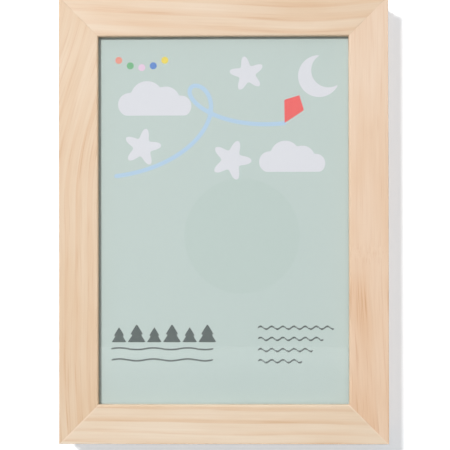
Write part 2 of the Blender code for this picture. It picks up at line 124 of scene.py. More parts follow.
class HardwareSettings(bpy.types.PropertyGroup):
    brass: colour("Brass", "Colour of the plated hinges and buttons", (214, 182, 116))
    steel: colour("Steel", "Colour of the zinc-plated pieces", (190, 192, 194))
    nickel: colour("Nickel", "Colour of the magnets", (200, 197, 190))
    leaf_thickness: length("Leaf thickness", "Thickness of a hinge leaf", 0.0010)
    knuckle_share: share("Knuckle share", "Share of a hinge's height in the door's knuckle", 0.4)
    nail_wall: length("Nail wall", "Thickness of the bent strip across a mitre", 0.0006)
    slot_width: length("Slot width", "Width of a screw's drive recess", 0.00045)
    slot_depth: length("Slot depth", "Depth of a screw's drive recess", 0.0006)
    facets: IntProperty(name="Facets", description="Facets round a turned piece", default=48, min=12)


class StageSettings(bpy.types.PropertyGroup):
    lens: FloatProperty(name="Lens", description="Focal length in millimetres", default=82.37)
    key_power: power("Key lamp", "Power of the lamp in front", 34.0)
    key_radius: length("Key radius", "Radius of that lamp's disc", 0.107)
    surround: FloatProperty(name="Surround", description="Soft light from all round", default=0.33)
    surround_tilt: share("Surround tilt", "How much stronger the soft light is from above", 0.44)
    rim_power: power("Rim lamps", "Power of each lamp behind", 20.0)
    wall_glow: FloatVectorProperty(
        name="Wall glow", description="Lifts the lit wall to white", subtype="COLOR",
        default=(0.400, 0.420, 0.446),
    )


class Graph:
    """Adds nodes to a tree. Wherever a value is taken, it may be a socket or a plain value."""

    def __init__(self, tree):
        self.tree = tree

    def join(self, value, socket):
        if isinstance(value, bpy.types.NodeSocket):
            self.tree.links.new(value, socket)
        elif value is not None:
            socket.default_value = value

    def add(self, kind, *values, **settings):
        node = self.tree.nodes.new("ShaderNode" + kind)
        for key, value in settings.items():
            setattr(node, key, value)
        for value, socket in zip(values, node.inputs):
            self.join(value, socket)
        return node

    def math(self, operation, *values):
        return self.add("Math", *values, operation=operation).outputs[0]

    def vector(self, operation, *values):
        node = self.add("VectorMath", operation=operation)
        for value, socket in zip(values, node.inputs):
            self.join(value, socket)
        return node.outputs["Value"] if operation in ("LENGTH", "DISTANCE") else node.outputs["Vector"]

    def product(self, value, *others):
        for other in others:
            value = self.math("MULTIPLY", value, other)
        return value

    def ripple(self, value, pitch):
        """A sine that repeats at a pitch."""
        return self.math("SINE", self.math("MULTIPLY", value, 2 * np.pi / pitch))

    def scaled(self, place, factors):
        return self.vector("MULTIPLY", place, factors)

    def noise(self, place, scale, detail):
        """Noise from zero to one, whose scale is about how many features one unit of place holds."""
        node = self.add("TexNoise")
        self.join(place, node.inputs["Vector"])
        self.join(scale, node.inputs["Scale"])
        self.join(detail, node.inputs["Detail"])
        return node.outputs["Fac"]

    def between(self, value, low, high, start=0.0, end=1.0):
        """A smooth step from start to end as the value goes from low to high."""
        node = self.add("MapRange", value, low, high, start, end, interpolation_type="SMOOTHSTEP")
        return node.outputs[0]

    def mix(self, amount, first, second, blend_type="MIX"):
        node = self.add("Mix", data_type="RGBA", blend_type=blend_type)
        for value, socket in ((amount, 0), (first, 6), (second, 7)):
            self.join(value, node.inputs[socket])
        return node.outputs[2]

    def combine(self, x, y, z):
        return self.add("CombineXYZ", x, y, z).outputs[0]

    def separate(self, vector):
        return self.add("SeparateXYZ", vector).outputs


def opaque(rgb):
    return (*rgb, 1.0)


def node_group(name, inputs, outputs):
    """A new shader group: its graph, the sockets that its inputs come from and its outputs go to."""
    tree = bpy.data.node_groups.new(name, "ShaderNodeTree")
    for label, kind, value in inputs:
        socket = tree.interface.new_socket(label, in_out="INPUT", socket_type="NodeSocket" + kind)
        socket.default_value = value
    for label, kind in outputs:
        tree.interface.new_socket(label, in_out="OUTPUT", socket_type="NodeSocket" + kind)
    graph = Graph(tree)
    entry = tree.nodes.new("NodeGroupInput").outputs
    leave = tree.nodes.new("NodeGroupOutput").inputs
    return graph, entry, leave


def pine_group():
    """Growth rings of a board sawn from a trunk, with veins, fibres, resin canals and a drifting tone.

    Place is in the board's own metres: X across its face, Y in from the face and Z along the grain. A
    ring's number is the distance from the heart over the ring width. Its wood darkens slowly outwards
    and ends sharply, and long thin tongues fray that end. Mitre is the way in from the nearest mitre.
    """
    name = "pine_grain"
    if name in bpy.data.node_groups:
        return bpy.data.node_groups[name]
    graph, entry, leave = node_group(
        name,
        (
            ("Place", "Vector", (0, 0, 0)),
            ("Mitre", "Float", 0.1),
            ("Heart", "Vector", (0.02, 0.03, 0)),
            ("Ring Width", "Float", 0.006),
            ("Ring Start", "Float", 0.0),
            ("Darkening", "Float", 0.3),
            ("Figure", "Float", 1.0),
            ("Tongues", "Float", 0.0012),
            ("Veins", "Float", 1.0),
            ("Lines", "Float", 1.0),
            ("Tan", "Float", 0.2),
            ("Pale Mitre", "Float", 0.0),
            ("Dark Mitre", "Float", 0.0),
            ("Seed", "Float", 0.0),
            ("Early", "Color", (1, 1, 1, 1)),
            ("Late", "Color", (1, 1, 1, 1)),
            ("Blush", "Color", (1, 1, 1, 1)),
        ),
        (("Color", "Color"), ("Roughness", "Float"), ("Height", "Float")),
    )
    place = entry["Place"]
    seed = entry["Seed"]
    far = graph.combine(graph.math("MULTIPLY", seed, 1.7), seed, graph.math("MULTIPLY", seed, 3.1))
    shifted = graph.vector("ADD", place, far)

    def rough_noise(across, along, detail):
        """Noise whose scale across the grain differs from its scale along it, less its mean."""
        stretched = graph.scaled(shifted, (across, across, along))
        return graph.math("SUBTRACT", graph.noise(stretched, 1.0, detail), 0.5)

    ring_wander = 0.0036
    slow = rough_noise(across=30, along=8, detail=1.0)
    tongue = rough_noise(across=520, along=15, detail=2.0)
    radius = graph.vector("LENGTH", graph.scaled(graph.vector("SUBTRACT", place, entry["Heart"]), (1, 1, 0)))
    radius = graph.math("MULTIPLY_ADD", slow, ring_wander, radius)
    radius = graph.math("MULTIPLY_ADD", tongue, entry["Tongues"], radius)
    number = graph.math("ADD", graph.math("DIVIDE", radius, entry["Ring Width"]), entry["Ring Start"])
    part = graph.math("FRACT", number)
    darkens = graph.between(part, entry["Darkening"], 0.84)
    ends = graph.between(part, 0.88, 1.0, 1.0, 0.0)
    which = graph.combine(graph.math("FLOOR", number), seed, 0.0)
    strength = graph.add("TexWhiteNoise", which, noise_dimensions="3D").outputs["Value"]
    strength = graph.between(strength, 0.0, 1.0, 0.60, 1.0)
    patch = graph.between(rough_noise(across=26, along=11, detail=1.0), -0.2, 0.12, 0.45, 1.0)
    late = graph.product(graph.product(darkens, ends), graph.product(strength, patch, entry["Figure"]))

    vein = rough_noise(across=480, along=12, detail=2.0)
    line = graph.between(rough_noise(across=950, along=24, detail=1.0), 0.02, 0.22)
    fibre = rough_noise(across=2200, along=70, detail=1.0)
    canal = graph.between(rough_noise(across=1100, along=50, detail=0.0), 0.20, 0.32)
    drifting = rough_noise(across=55, along=12, detail=2.0)

    wood = graph.mix(late, entry["Early"], entry["Late"])
    tan = graph.add("Clamp", graph.math("MULTIPLY_ADD", drifting, 1.1, entry["Tan"])).outputs[0]
    wood = graph.mix(tan, wood, entry["Blush"], blend_type="MULTIPLY")
    lines = graph.product(line, graph.math("MULTIPLY_ADD", late, 1.8, 0.35))
    lines = graph.math("MULTIPLY_ADD", canal, 0.35, graph.product(lines, entry["Lines"]))
    vein = graph.product(vein, graph.product(entry["Veins"], graph.math("MULTIPLY_ADD", late, 0.8, 0.8)))
    weave = graph.math("MULTIPLY_ADD", fibre, 0.06, 1.0)
    line_shares = (0.040, 0.075, 0.105)  # what a line takes from red, green and blue
    vein_shares = (0.10, 0.18, 0.26)
    shade = graph.combine(*(
        graph.math("MULTIPLY_ADD", lines, -dark, graph.math("MULTIPLY_ADD", vein, -soft, weave))
        for dark, soft in zip(line_shares, vein_shares)
    ))
    wood = graph.vector("MULTIPLY", wood, shade)

    mitre = entry["Mitre"]
    ragged = graph.between(rough_noise(across=170, along=170, detail=1.0), -0.12, 0.14)
    pale = graph.product(graph.between(mitre, 0.0004, 0.0016, 1.0, 0.0), entry["Pale Mitre"])
    pale = graph.product(pale, graph.math("MULTIPLY_ADD", ragged, 0.4, 0.6))
    wood = graph.mix(pale, wood, opaque(tone(244, 220, 196)))
    dark = graph.product(graph.between(mitre, 0.0, 0.0007, 1.0, 0.0), entry["Dark Mitre"])
    wood = graph.mix(graph.product(dark, ragged), wood, opaque(tone(176, 140, 104)))
    graph.join(wood, leave["Color"])
    rough = graph.math("MULTIPLY_ADD", vein, 0.16, 0.50)
    graph.join(graph.math("MULTIPLY_ADD", late, -0.06, rough), leave["Roughness"])
    height = graph.math("MULTIPLY_ADD", fibre, 0.5, graph.product(late, 0.6))
    graph.join(graph.math("MULTIPLY_ADD", canal, -0.7, height), leave["Height"])
    return graph.tree


def wear_group():
    """Fine hairline scratches and faint smudges for metal, from stretched noise."""
    name = "metal_wear"
    if name in bpy.data.node_groups:
        return bpy.data.node_groups[name]
    graph, entry, leave = node_group(
        name,
        (
            ("Place", "Vector", (0, 0, 0)),
            ("Base", "Color", (1, 1, 1, 1)),
            ("Dull", "Color", (1, 1, 1, 1)),
            ("Polish", "Float", 0.25),
        ),
        (("Color", "Color"), ("Roughness", "Float"), ("Height", "Float")),
    )
    smudge = graph.noise(entry["Place"], 260, detail=3.0)
    hair = graph.noise(graph.scaled(entry["Place"], (900, 4200, 3800)), 1.0, detail=1.0)
    hair = graph.between(hair, 0.62, 0.72)
    graph.join(graph.mix(graph.between(smudge, 0.4, 0.75), entry["Base"], entry["Dull"]), leave["Color"])
    rough = graph.math("MULTIPLY_ADD", smudge, 0.22, entry["Polish"])
    graph.join(graph.math("MULTIPLY_ADD", hair, 0.12, rough), leave["Roughness"])
    graph.join(graph.math("MULTIPLY", hair, -1.0), leave["Height"])
    return graph.tree


def new_material(name):
    """A new node material, its graph and its Principled shader."""
    made = bpy.data.materials.new(name)
    made.use_nodes = True
    return made, Graph(made.node_tree), made.node_tree.nodes["Principled BSDF"]


def placed(graph):
    """The place of each point in the object's own metres."""
    return graph.add("TexCoord").outputs["Object"]


def bumped(graph, shader, height, relief):
    """Feeds a height over the surface, times its relief in metres, to the shader's normal."""
    bump = graph.add("Bump")
    bump.inputs["Distance"].default_value = relief
    graph.join(height, bump.inputs["Height"])
    graph.join(bump.outputs[0], shader.inputs["Normal"])


def use_group(graph, tree, **values):
    """Places a group with its inputs joined or set, where _ stands for a space, and gives its outputs."""
    node = graph.add("Group", node_tree=tree)
    for label, value in values.items():
        graph.join(value, node.inputs[label.replace("_", " ")])
    return node.outputs


# How each board was sawn, in its own metres: see pine_group and mark_grain. The places of courses are
# along the board from its middle, towards its right or its top.
BOARDS = {
    "door_stile_left": dict(
        drift=[(-0.17, 0.003), (-0.12, -0.001), (-0.05, 0.001), (0.040, 0), (0.086, 0.012), (0.110, 0.020),
               (0.17, 0.040)],
        figure=[(-0.16, 0.65), (0.03, 0.62), (0.08, 0.50), (0.16, 0.30)],
        tan=[(-0.16, 0.75), (-0.05, 0.66), (0.0, 0.60), (0.12, 0.70), (0.16, 0.72)],
        Heart=(0.05, 0.035, 0), Ring_Width=0.0070, Ring_Start=0.92, Tongues=0.0022, Veins=1.1,
        Lines=2.2, Seed=1.0,
    ),
    "door_stile_right": dict(
        drift=[(-0.17, 0.0075), (-0.155, 0.0065), (-0.04, 0), (0.17, 0)],
        dip=[(-0.17, 0.0032), (-0.105, 0.0032), (-0.055, 0.0031), (-0.030, 0.0030), (-0.020, 0)],
        figure=[(-0.16, 0.72), (-0.060, 0.72), (-0.045, 0.60), (-0.039, 0.12), (0.16, 0.10)],
        tan=[(-0.16, 0.62), (-0.05, 0.45), (0.03, 0.52), (0.10, 0.30), (0.16, 0.26)],
        Heart=(-0.012, 0.080, 0), Ring_Width=0.0045, Ring_Start=0.31, Darkening=0.15,
        Tongues=0.0012, Veins=0.9, Lines=2.4, Seed=5.0, warmth=1.05,
    ),
    "door_rail_top": dict(
        drift=[(-0.124, 0.005), (-0.105, 0.0040), (-0.067, 0.0010), (-0.037, 0), (0.054, -0.0040),
               (0.077, -0.0050), (0.092, -0.0045), (0.107, -0.002), (0.125, 0.001)],
        figure=[(-0.12, 0.8), (0.04, 0.75), (0.07, 0.95), (0.12, 0.8)],
        tan=[(-0.12, 0.50), (0.02, 0.43), (0.07, 0.50), (0.12, 0.48)],
        Heart=(0.035, 0.030, 0), Ring_Width=0.0073, Ring_Start=0.70, Seed=9.0, Dark_Mitre=0.35, warmth=1.012,
    ),
    "door_rail_bottom": dict(
        drift=[(-0.125, 0.0012), (-0.052, 0), (0.125, -0.0020)],
        figure=[(-0.12, 1.1), (0.12, 0.85)],
        tan=[(-0.12, 0.06), (0.12, 0.30)],
        Heart=(0.035, 0.030, 0), Ring_Width=0.0067, Ring_Start=0.24, Darkening=0.45, Seed=14.0,
        Pale_Mitre=0.8,
    ),
    "case_side_left": dict(Heart=(-0.05, 0.04, 0), Seed=21.0),
    "case_side_right": dict(Heart=(0.04, 0.05, 0), Seed=24.0),
    "case_rail_top": dict(Heart=(0.05, 0.03, 0), Seed=28.0),
    "case_rail_bottom": dict(Heart=(-0.04, 0.04, 0), Seed=33.0),
}


def points_of(mesh):
    """A mesh's points, one in each row."""
    places = np.zeros(len(mesh.vertices) * 3)
    mesh.vertices.foreach_get("co", places)
    return places.reshape(-1, 3)


def mark(mesh, name, values):
    """Stores a value for each point of a mesh under a name that materials read."""
    mesh.attributes.new(name, "FLOAT", "POINT").data.foreach_set("value", values)


def mark_grain(piece, node, half_length):
    """Stores where each point lies in the board, as the grain runs, and how near it is to a mitre.

    Grain is the way across less the drift, the way in less the dip, and the way along. Drift, dip, figure
    and tan run straight between listed points along the board and are averaged over a span. A mitre
    is 45 degrees off, so the way in from it is the way along left to it, over the square root of two.
    """
    low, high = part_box(node)
    middle = np.array((low + high) / 2)
    x, y, z = (points_of(piece.data) - middle).T
    along, across = (x, z) if "rail" in node else (z, x)
    width = high.z - low.z if "rail" in node else high.x - low.x
    short_span, drift_span = 0.008, 0.05

    def course(word, plain, span=short_span):
        stations, values = zip(*BOARDS[node].get(word, [(0, plain)]))
        steps = np.linspace(-span / 2, span / 2, 9)
        return np.mean([np.interp(along + step, stations, values) for step in steps], axis=0)

    outwards = across * (-1 if node.endswith(("left", "bottom")) else 1)
    inset = half_length + (outwards + width / 2) - np.abs(along)
    inwards = y + middle[1] - low.y
    grain = np.stack((across - course("drift", 0, drift_span), inwards - course("dip", 0), along), -1)
    grain_marks = piece.data.attributes.new("grain", "FLOAT_VECTOR", "POINT")
    grain_marks.data.foreach_set("vector", grain.ravel())
    mark(piece.data, "figure", course("figure", 1))
    mark(piece.data, "tan", course("tan", 0.4))
    mark(piece.data, "mitre", inset / np.sqrt(2))


def pine(node):
    """Clear-lacquered pine for one board, which reads the board's own attributes."""
    wood = bpy.context.scene.wood_settings
    made, graph, shader = new_material(f"pine_{node}")
    board = {key: value for key, value in BOARDS[node].items() if key[0].isupper()}
    warmth = BOARDS[node].get("warmth", 1)
    early, late = ((warmth * red, green, blue) for red, green, blue in (wood.early, wood.late))
    read = {word: graph.add("Attribute", attribute_name=word.lower()).outputs["Fac"]
            for word in ("Figure", "Tan", "Mitre")}
    out = use_group(
        graph, pine_group(), Place=graph.add("Attribute", attribute_name="grain").outputs["Vector"],
        Early=opaque(early), Late=opaque(late), Blush=opaque(wood.blush), **read, **board,
    )
    graph.join(out["Color"], shader.inputs["Base Color"])
    graph.join(out["Roughness"], shader.inputs["Roughness"])
    shader.inputs["IOR"].default_value = 1.45
    bumped(graph, shader, out["Height"], relief=0.00004)
    return made


def metal(name, rgb, polish):
    """Plated metal with hairlines and smudges. Where it is smudged, it keeps a share of its colour."""
    if name in bpy.data.materials:
        return bpy.data.materials[name]
    dull_share = 0.82
    made, graph, shader = new_material(name)
    dull = tuple(dull_share * part for part in rgb)
    out = use_group(
        graph, wear_group(), Place=placed(graph), Base=opaque(rgb), Dull=opaque(dull), Polish=polish,
    )
    graph.join(out["Color"], shader.inputs["Base Color"])
    graph.join(out["Roughness"], shader.inputs["Roughness"])
    shader.inputs["Metallic"].default_value = 1.0
    bumped(graph, shader, out["Height"], relief=0.000008)
    return made


def brass():
    return metal("plated_brass", bpy.context.scene.hardware_settings.brass, polish=0.22)


def steel():
    return metal("zinc_steel", bpy.context.scene.hardware_settings.steel, polish=0.30)


def nickel():
    return metal("nickel", bpy.context.scene.hardware_settings.nickel, polish=0.12)


def hardboard():
    """Brown pressed fibre: flecks, crossed fibres, a mottle and a wire screen's print on the wall side."""
    name = "pressed_hardboard"
    if name in bpy.data.materials:
        return bpy.data.materials[name]
    wire_pitch = 0.0020
    wall_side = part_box("back_panel")[1].y
    print_start, print_full = wall_side - 0.0010, wall_side - 0.0003
    made, graph, shader = new_material(name)
    place = placed(graph)
    fleck = graph.noise(place, 850, detail=4.0)
    fibre = graph.math("MAXIMUM", *(
        graph.noise(graph.scaled(place, stretch), 1.0, detail=3.0)
        for stretch in ((300, 1500, 1500), (1500, 1500, 300))
    ))
    mottle = graph.noise(place, 120, detail=3.0)
    cloud = graph.noise(place, 14, detail=2.0)
    board = graph.mix(graph.between(fleck, 0.32, 0.70), opaque(tone(122, 88, 58)), opaque(tone(160, 122, 85)))
    board = graph.mix(graph.between(mottle, 0.35, 0.70, 0.0, 0.22), board, opaque(tone(176, 139, 100)))
    board = graph.mix(graph.between(fibre, 0.60, 0.76, 0.0, 0.75), board, opaque(tone(86, 58, 36)))
    board = graph.mix(graph.between(cloud, 0.35, 0.70, 0.0, 0.18), board, opaque(tone(120, 87, 58)))
    across, depth, height = graph.separate(place)
    screen = graph.product(graph.ripple(across, wire_pitch), graph.ripple(height, wire_pitch),
                           graph.between(depth, print_start, print_full))
    shade = graph.math("MULTIPLY_ADD", screen, 0.05, 1.0)
    board = graph.vector("MULTIPLY", board, graph.combine(shade, shade, shade))
    graph.join(board, shader.inputs["Base Color"])
    graph.join(graph.math("MULTIPLY_ADD", fleck, 0.2, 0.55), shader.inputs["Roughness"])
    rise = graph.math("MULTIPLY_ADD", screen, 0.8, graph.math("ADD", fleck, mottle))
    bumped(graph, shader, rise, relief=0.00012)
    return made


def elastic():
    """Woven elastic: ribs along the band and weft rows across it, from its own UV map in metres."""
    weave_pitch = 0.0009
    made, graph, shader = new_material("woven_elastic")
    along, across, _ = graph.separate(graph.add("UVMap", uv_map="band").outputs[0])
    weave = graph.product(graph.ripple(along, weave_pitch), graph.ripple(across, weave_pitch))
    fuzz = graph.noise(placed(graph), 1800, detail=2.0)
    # painted shade in the weave's valleys and a painted highlight on its crowns, following the ribs' bump
    valley, crown = opaque(tone(206, 204, 196)), opaque(tone(238, 237, 231))
    band = graph.mix(graph.between(weave, -1.0, 1.0), valley, crown)
    band = graph.mix(graph.between(fuzz, 0.4, 0.8, 0.0, 0.4), band, opaque(tone(224, 221, 212)))
    graph.join(band, shader.inputs["Base Color"])
    shader.inputs["Roughness"].default_value = 0.9
    shader.inputs["Sheen Weight"].default_value = 0.3
    bumped(graph, shader, graph.math("MULTIPLY_ADD", fuzz, 0.6, weave), relief=0.00008)
    return made


def clear_pane():
    """Clear acrylic. Shadow and diffuse rays pass straight through, so light reaches the sheet."""
    made, graph, shader = new_material("clear_acrylic")
    haze = graph.noise(placed(graph), 18, detail=3.0)
    graph.join(graph.between(haze, 0.3, 0.8, 0.0, 0.03), shader.inputs["Roughness"])
    shader.inputs["Base Color"].default_value = opaque(tone(253, 255, 254))
    shader.inputs["Transmission Weight"].default_value = 1.0
    shader.inputs["IOR"].default_value = 1.49
    path = graph.add("LightPath")
    passing = graph.math("MAXIMUM", path.outputs["Is Shadow Ray"], path.outputs["Is Diffuse Ray"])
    through = graph.add("BsdfTransparent")
    blend = graph.add("MixShader", passing, shader.outputs[0], through.outputs[0])
    output = made.node_tree.nodes["Material Output"]
    graph.join(blend.outputs[0], output.inputs["Surface"])
    return made


def mesh_from(name, points, faces):
    """A mesh whose doubled points are merged and whose faces point outwards."""
    merge_distance = 1e-7
    mesh = bpy.data.meshes.new(name)
    mesh.from_pydata(points.reshape(-1, 3).tolist(), [], faces)
    shape = bmesh.new()
    shape.from_mesh(mesh)
    bmesh.ops.remove_doubles(shape, verts=shape.verts, dist=merge_distance)
    bmesh.ops.recalc_face_normals(shape, faces=shape.faces)
    shape.to_mesh(mesh)
    shape.free()
    return mesh


def solid(name, rings):
    """A closed skin over rings of points, an array of ring, point and place, with a face on each end."""
    count, around, _ = rings.shape
    ring, point = np.meshgrid(np.arange(count - 1), np.arange(around), indexing="ij")
    after = (point + 1) % around
    first, second = ring * around, (ring + 1) * around
    quads = np.stack((first + point, first + after, second + after, second + point), -1).reshape(-1, 4)
    last = (count - 1) * around
    ends = [list(range(around)), list(range(last, last + around))]
    piece = bpy.data.objects.new(name, mesh_from(name, rings, quads.tolist() + ends))
    bpy.context.scene.collection.objects.link(piece)
    soften(piece)
    return piece


def soften(piece):
    """Smooth shading with sharp edges kept."""
    sharp_deg = 35.0
    piece.data.shade_smooth()
    piece.data.set_sharp_from_angle(angle=np.radians(sharp_deg))


def eased(corners, radii, steps=6):
    """A closed outline whose corners give way to arcs that touch both of their edges."""
    corners = np.asarray(corners, float)
    radii = np.broadcast_to(np.asarray(radii, float), len(corners))[:, None]
    before = np.roll(corners, 1, 0) - corners
    after = np.roll(corners, -1, 0) - corners
    before /= np.linalg.norm(before, axis=1, keepdims=True)
    after /= np.linalg.norm(after, axis=1, keepdims=True)
    half = np.arccos(np.clip((before * after).sum(1, keepdims=True), -1, 1)) / 2
    inwards = before + after
    inwards /= np.linalg.norm(inwards, axis=1, keepdims=True)
    centre = corners + inwards * radii / np.sin(half)
    reach = radii / np.tan(half)
    start, end = corners + before * reach - centre, corners + after * reach - centre
    turn = (np.pi - 2 * half)[:, None]
    step = np.linspace(0, 1, steps + 1)[None, :, None]
    arcs = (np.sin((1 - step) * turn) * start[:, None] + np.sin(step * turn) * end[:, None]) / np.sin(turn)
    return (arcs + centre[:, None]).reshape(-1, 2)


def arc(centre, radius, start_deg, end_deg, steps):
    """Points on an arc round a centre, both ends included."""
    angle = np.radians(np.linspace(start_deg, end_deg, steps + 1))
    return np.stack((centre[0] + radius * np.cos(angle), centre[1] + radius * np.sin(angle)), -1)


def straight(first, second):
    """Points on a straight line: one of the two coordinates runs and the other stays."""
    return np.column_stack(np.broadcast_arrays(first, second))


def turned(profile, start, direction, facets):
    """Rings of a solid of revolution: each of the profile's pairs is a radius and a way along direction."""
    radius, along = np.asarray(profile, float).T
    direction = Vector(direction).normalized()
    side = direction.orthogonal().normalized()
    across = np.array(direction.cross(side))
    angle = np.linspace(0, 2 * np.pi, facets, endpoint=False)
    circle = np.cos(angle)[:, None] * np.array(side) + np.sin(angle)[:, None] * across
    rings = radius[:, None, None] * circle[None] + (along[:, None] * np.array(direction))[:, None]
    return rings + np.array(start)


def plate(outline, low, high, ease, steps=3):
    """Rings of a flat plate in the XZ plane between two places along Y, its rims rounded by ease.

    The outline moves inwards along its own normals by the ease times one minus the sine of an angle,
    while the ring climbs by the ease times one minus its cosine.
    """
    outline = np.asarray(outline, float)
    tangent = np.roll(outline, -1, 0) - np.roll(outline, 1, 0)
    tangent /= np.linalg.norm(tangent, axis=1, keepdims=True)
    normal = np.stack((-tangent[:, 1], tangent[:, 0]), -1)
    area = (outline[:, 0] * np.roll(outline[:, 1], -1) - outline[:, 1] * np.roll(outline[:, 0], -1)).sum()
    normal *= np.sign(area)
    angle = np.linspace(0, np.pi / 2, steps + 1)
    inset = ease * (1 - np.sin(angle))
    climb = ease * (1 - np.cos(angle))
    y = np.concatenate((low + climb, high - climb[::-1]))
    inset = np.concatenate((inset, inset[::-1]))
    flat = outline[None] + inset[:, None, None] * normal[None]
    return np.stack((flat[..., 0], np.broadcast_to(y[:, None], flat.shape[:2]), flat[..., 1]), -1)


def helper_box(name, low, high):
    """A plain box, for cutters."""
    outline = [(low[0], low[2]), (high[0], low[2]), (high[0], high[2]), (low[0], high[2])]
    return solid(name, np.array([[(x, y, z) for x, z in outline] for y in (low[1], high[1])]))


def drill(name, start, direction, radius, reach, facets=48):
    """A round cutter from an overrun before its start to its reach."""
    profile = [(0, -overrun), (radius, -overrun), (radius, reach), (0, reach)]
    return solid(name, turned(profile, start, direction, facets))


def swept(path, section, up):
    """Rings of a section carried along a path: its pairs lie along the path's side and along up."""
    path = np.asarray(path, float)
    tangent = np.gradient(path, axis=0)
    tangent /= np.linalg.norm(tangent, axis=1, keepdims=True)
    side = np.cross(tangent, up)
    side /= np.linalg.norm(side, axis=1, keepdims=True)
    rise = np.cross(side, tangent)
    section = np.asarray(section, float)
    return path[:, None] + section[None, :, :1] * side[:, None] + section[None, :, 1:] * rise[:, None]


def carve(piece, cuts=(), joins=()):
    """Unites the joins with a piece and takes the cuts out of it, for good. The helpers are removed."""
    for operation, tools in (("UNION", joins), ("DIFFERENCE", cuts)):
        for tool in tools:
            change = piece.modifiers.new(tool.name, "BOOLEAN")
            change.operation = operation
            change.object = tool
    evaluated = piece.evaluated_get(bpy.context.evaluated_depsgraph_get())
    old = piece.data
    piece.data = bpy.data.meshes.new_from_object(evaluated)
    piece.modifiers.clear()
    bpy.data.meshes.remove(old)
    for tool in (*cuts, *joins):
        helper = tool.data
        bpy.data.objects.remove(tool)
        bpy.data.meshes.remove(helper)
    soften(piece)


def stand_for(piece, node, finish):
    """Lets a new piece take the place of a CAD node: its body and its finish."""
    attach(piece, body_of[node])
    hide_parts(node)
    piece.data.materials.clear()
    piece.data.materials.append(finish)
    even = piece.modifiers.new("even_shading", "WEIGHTED_NORMAL")
    even.keep_sharp = True


def dress(node, finish):
    """Gives a CAD node its material and leaves its mesh alone."""
    piece = frame["nodes"][node]
    piece.data.materials.clear()
    piece.data.materials.append(finish)


def member(node, profile, inner, half_length, side, stations=64):
    """Rings of a frame member with mitred ends.

    The profile's pairs are the way outwards from the frame's inner edge and the place along Y. A ring is
    the profile at one station, and half the member's length grows by what lies outwards, so the ends
    are cut at 45 degrees. The last ring at each end is drawn back a little at the face, as an eased edge.
    """
    same_place = 1e-6
    wood = bpy.context.scene.wood_settings
    out, y = np.asarray(profile, float).T
    reach = half_length + out - wood.mitre_gap / np.sqrt(2)
    ease = wood.mitre_ease
    share_along = np.concatenate(([-1], np.linspace(-1, 1, stations), [1]))
    back = np.full(len(share_along), ease)
    back[[0, -1]] = 0
    along = share_along[:, None] * (reach[None] - back[:, None])
    face = (y < y.min() + same_place)[None]
    drop = np.where((back[:, None] == 0) & face, ease, 0)
    depth = np.broadcast_to(y, along.shape) + drop
    across = np.broadcast_to(inner + out, along.shape)
    if side in ("left", "bottom"):
        across = -across
    middle = frame_middle()
    if side in ("left", "right"):
        rings = np.stack((across, depth, along + middle), -1)
    else:
        rings = np.stack((along, depth, across + middle), -1)
    return solid(f"{node}_made", rings)


def frame_middle():
    """The height of the frame's middle."""
    low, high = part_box("door_stile_left")
    return (low.z + high.z) / 2


def screw_profile(radius, depth, shank, reach, spare):
    """A countersunk head, a plain shank and a point. Spare makes it larger all round, as its hole."""
    return [(0, -spare), (radius + spare, -spare), (radius + spare, 0), (shank + spare, depth),
            (shank + spare, neck_share * reach + spare), (0, reach + spare)]


def nail_profile(radius, reach, spare):
    """A flat head, a plain shank and a point. The head's rim is softened, but not the rim of its hole."""
    rim_share = 0.3
    rim = 0 if spare else rim_share * nail_head
    wide, deep, shank = radius + spare, nail_head + spare, nail_shank + spare
    return [(0, -spare), (wide - rim, -spare), (wide, rim), (wide, deep),
            (shank, deep), (shank, neck_share * reach + spare), (0, reach + spare)]


def dome_profile(radius, height):
    """Half the outline of a domed head, a quarter of an ellipse from its top to its rim at zero."""
    steps = 8
    angle = np.linspace(0, np.pi / 2, steps + 1)
    return np.stack((radius * np.sin(angle), -height * np.cos(angle)), -1)


def rod_profile(radius, low, high, ease):
    """A plain rod from low to high, chamfered by the ease at both ends."""
    return [(0, low), (radius - ease, low), (radius, low + ease),
            (radius, high - ease), (radius - ease, high), (0, high)]


def crossed_slots(centre, direction, reach):
    """Two thin boxes, crossed, that sink a drive recess into a screw's head."""
    hardware = bpy.context.scene.hardware_settings
    narrow, deep = hardware.slot_width / 2, hardware.slot_depth
    front = centre.y + direction * deep
    back = centre.y - direction * overrun
    slots = []
    for half_x, half_z in ((reach, narrow), (narrow, reach)):
        low = (centre.x - half_x, min(front, back), centre.z - half_z)
        high = (centre.x + half_x, max(front, back), centre.z + half_z)
        slots.append(helper_box("slot", low, high))
    return slots


def middle_of(node):
    """The middle of a node's box and half its size."""
    low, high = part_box(node)
    return (low + high) / 2, (high - low) / 2


def face_of(node, side):
    """The middle of a node's front, at side -1, or of its back, at side 1, and half the node's size."""
    centre, half = middle_of(node)
    return Vector((centre.x, centre.y + side * half.y, centre.z)), half


def countersunk(node, direction, depth, spare=0.0):
    """A countersunk screw where a CAD screw is, or with spare, the hole for it."""
    slot_share = 0.6
    start, half = face_of(node, -direction)
    facets = bpy.context.scene.hardware_settings.facets
    profile = screw_profile(half.x, depth, screw_shanks[node.split("_")[0]], 2 * half.y, spare)
    name = f"{node}_hole" if spare else f"{node}_made"
    piece = solid(name, turned(profile, start, (0, direction, 0), facets))
    if not spare:
        carve(piece, crossed_slots(start, direction, slot_share * half.x))
    return piece


def nail(node, axis, sign, spare=0.0):
    """A flat-headed nail where a CAD nail is, pointing along an axis, or the hole for it."""
    centre, half = middle_of(node)
    direction = Vector((0, 0, 0))
    direction[axis] = sign
    start = centre - direction * half[axis]
    radius = half[1] if axis == 0 else half[0]
    name = f"{node}_hole" if spare else f"{node}_made"
    return solid(name, turned(nail_profile(radius, 2 * half[axis], spare), start, direction, 24))


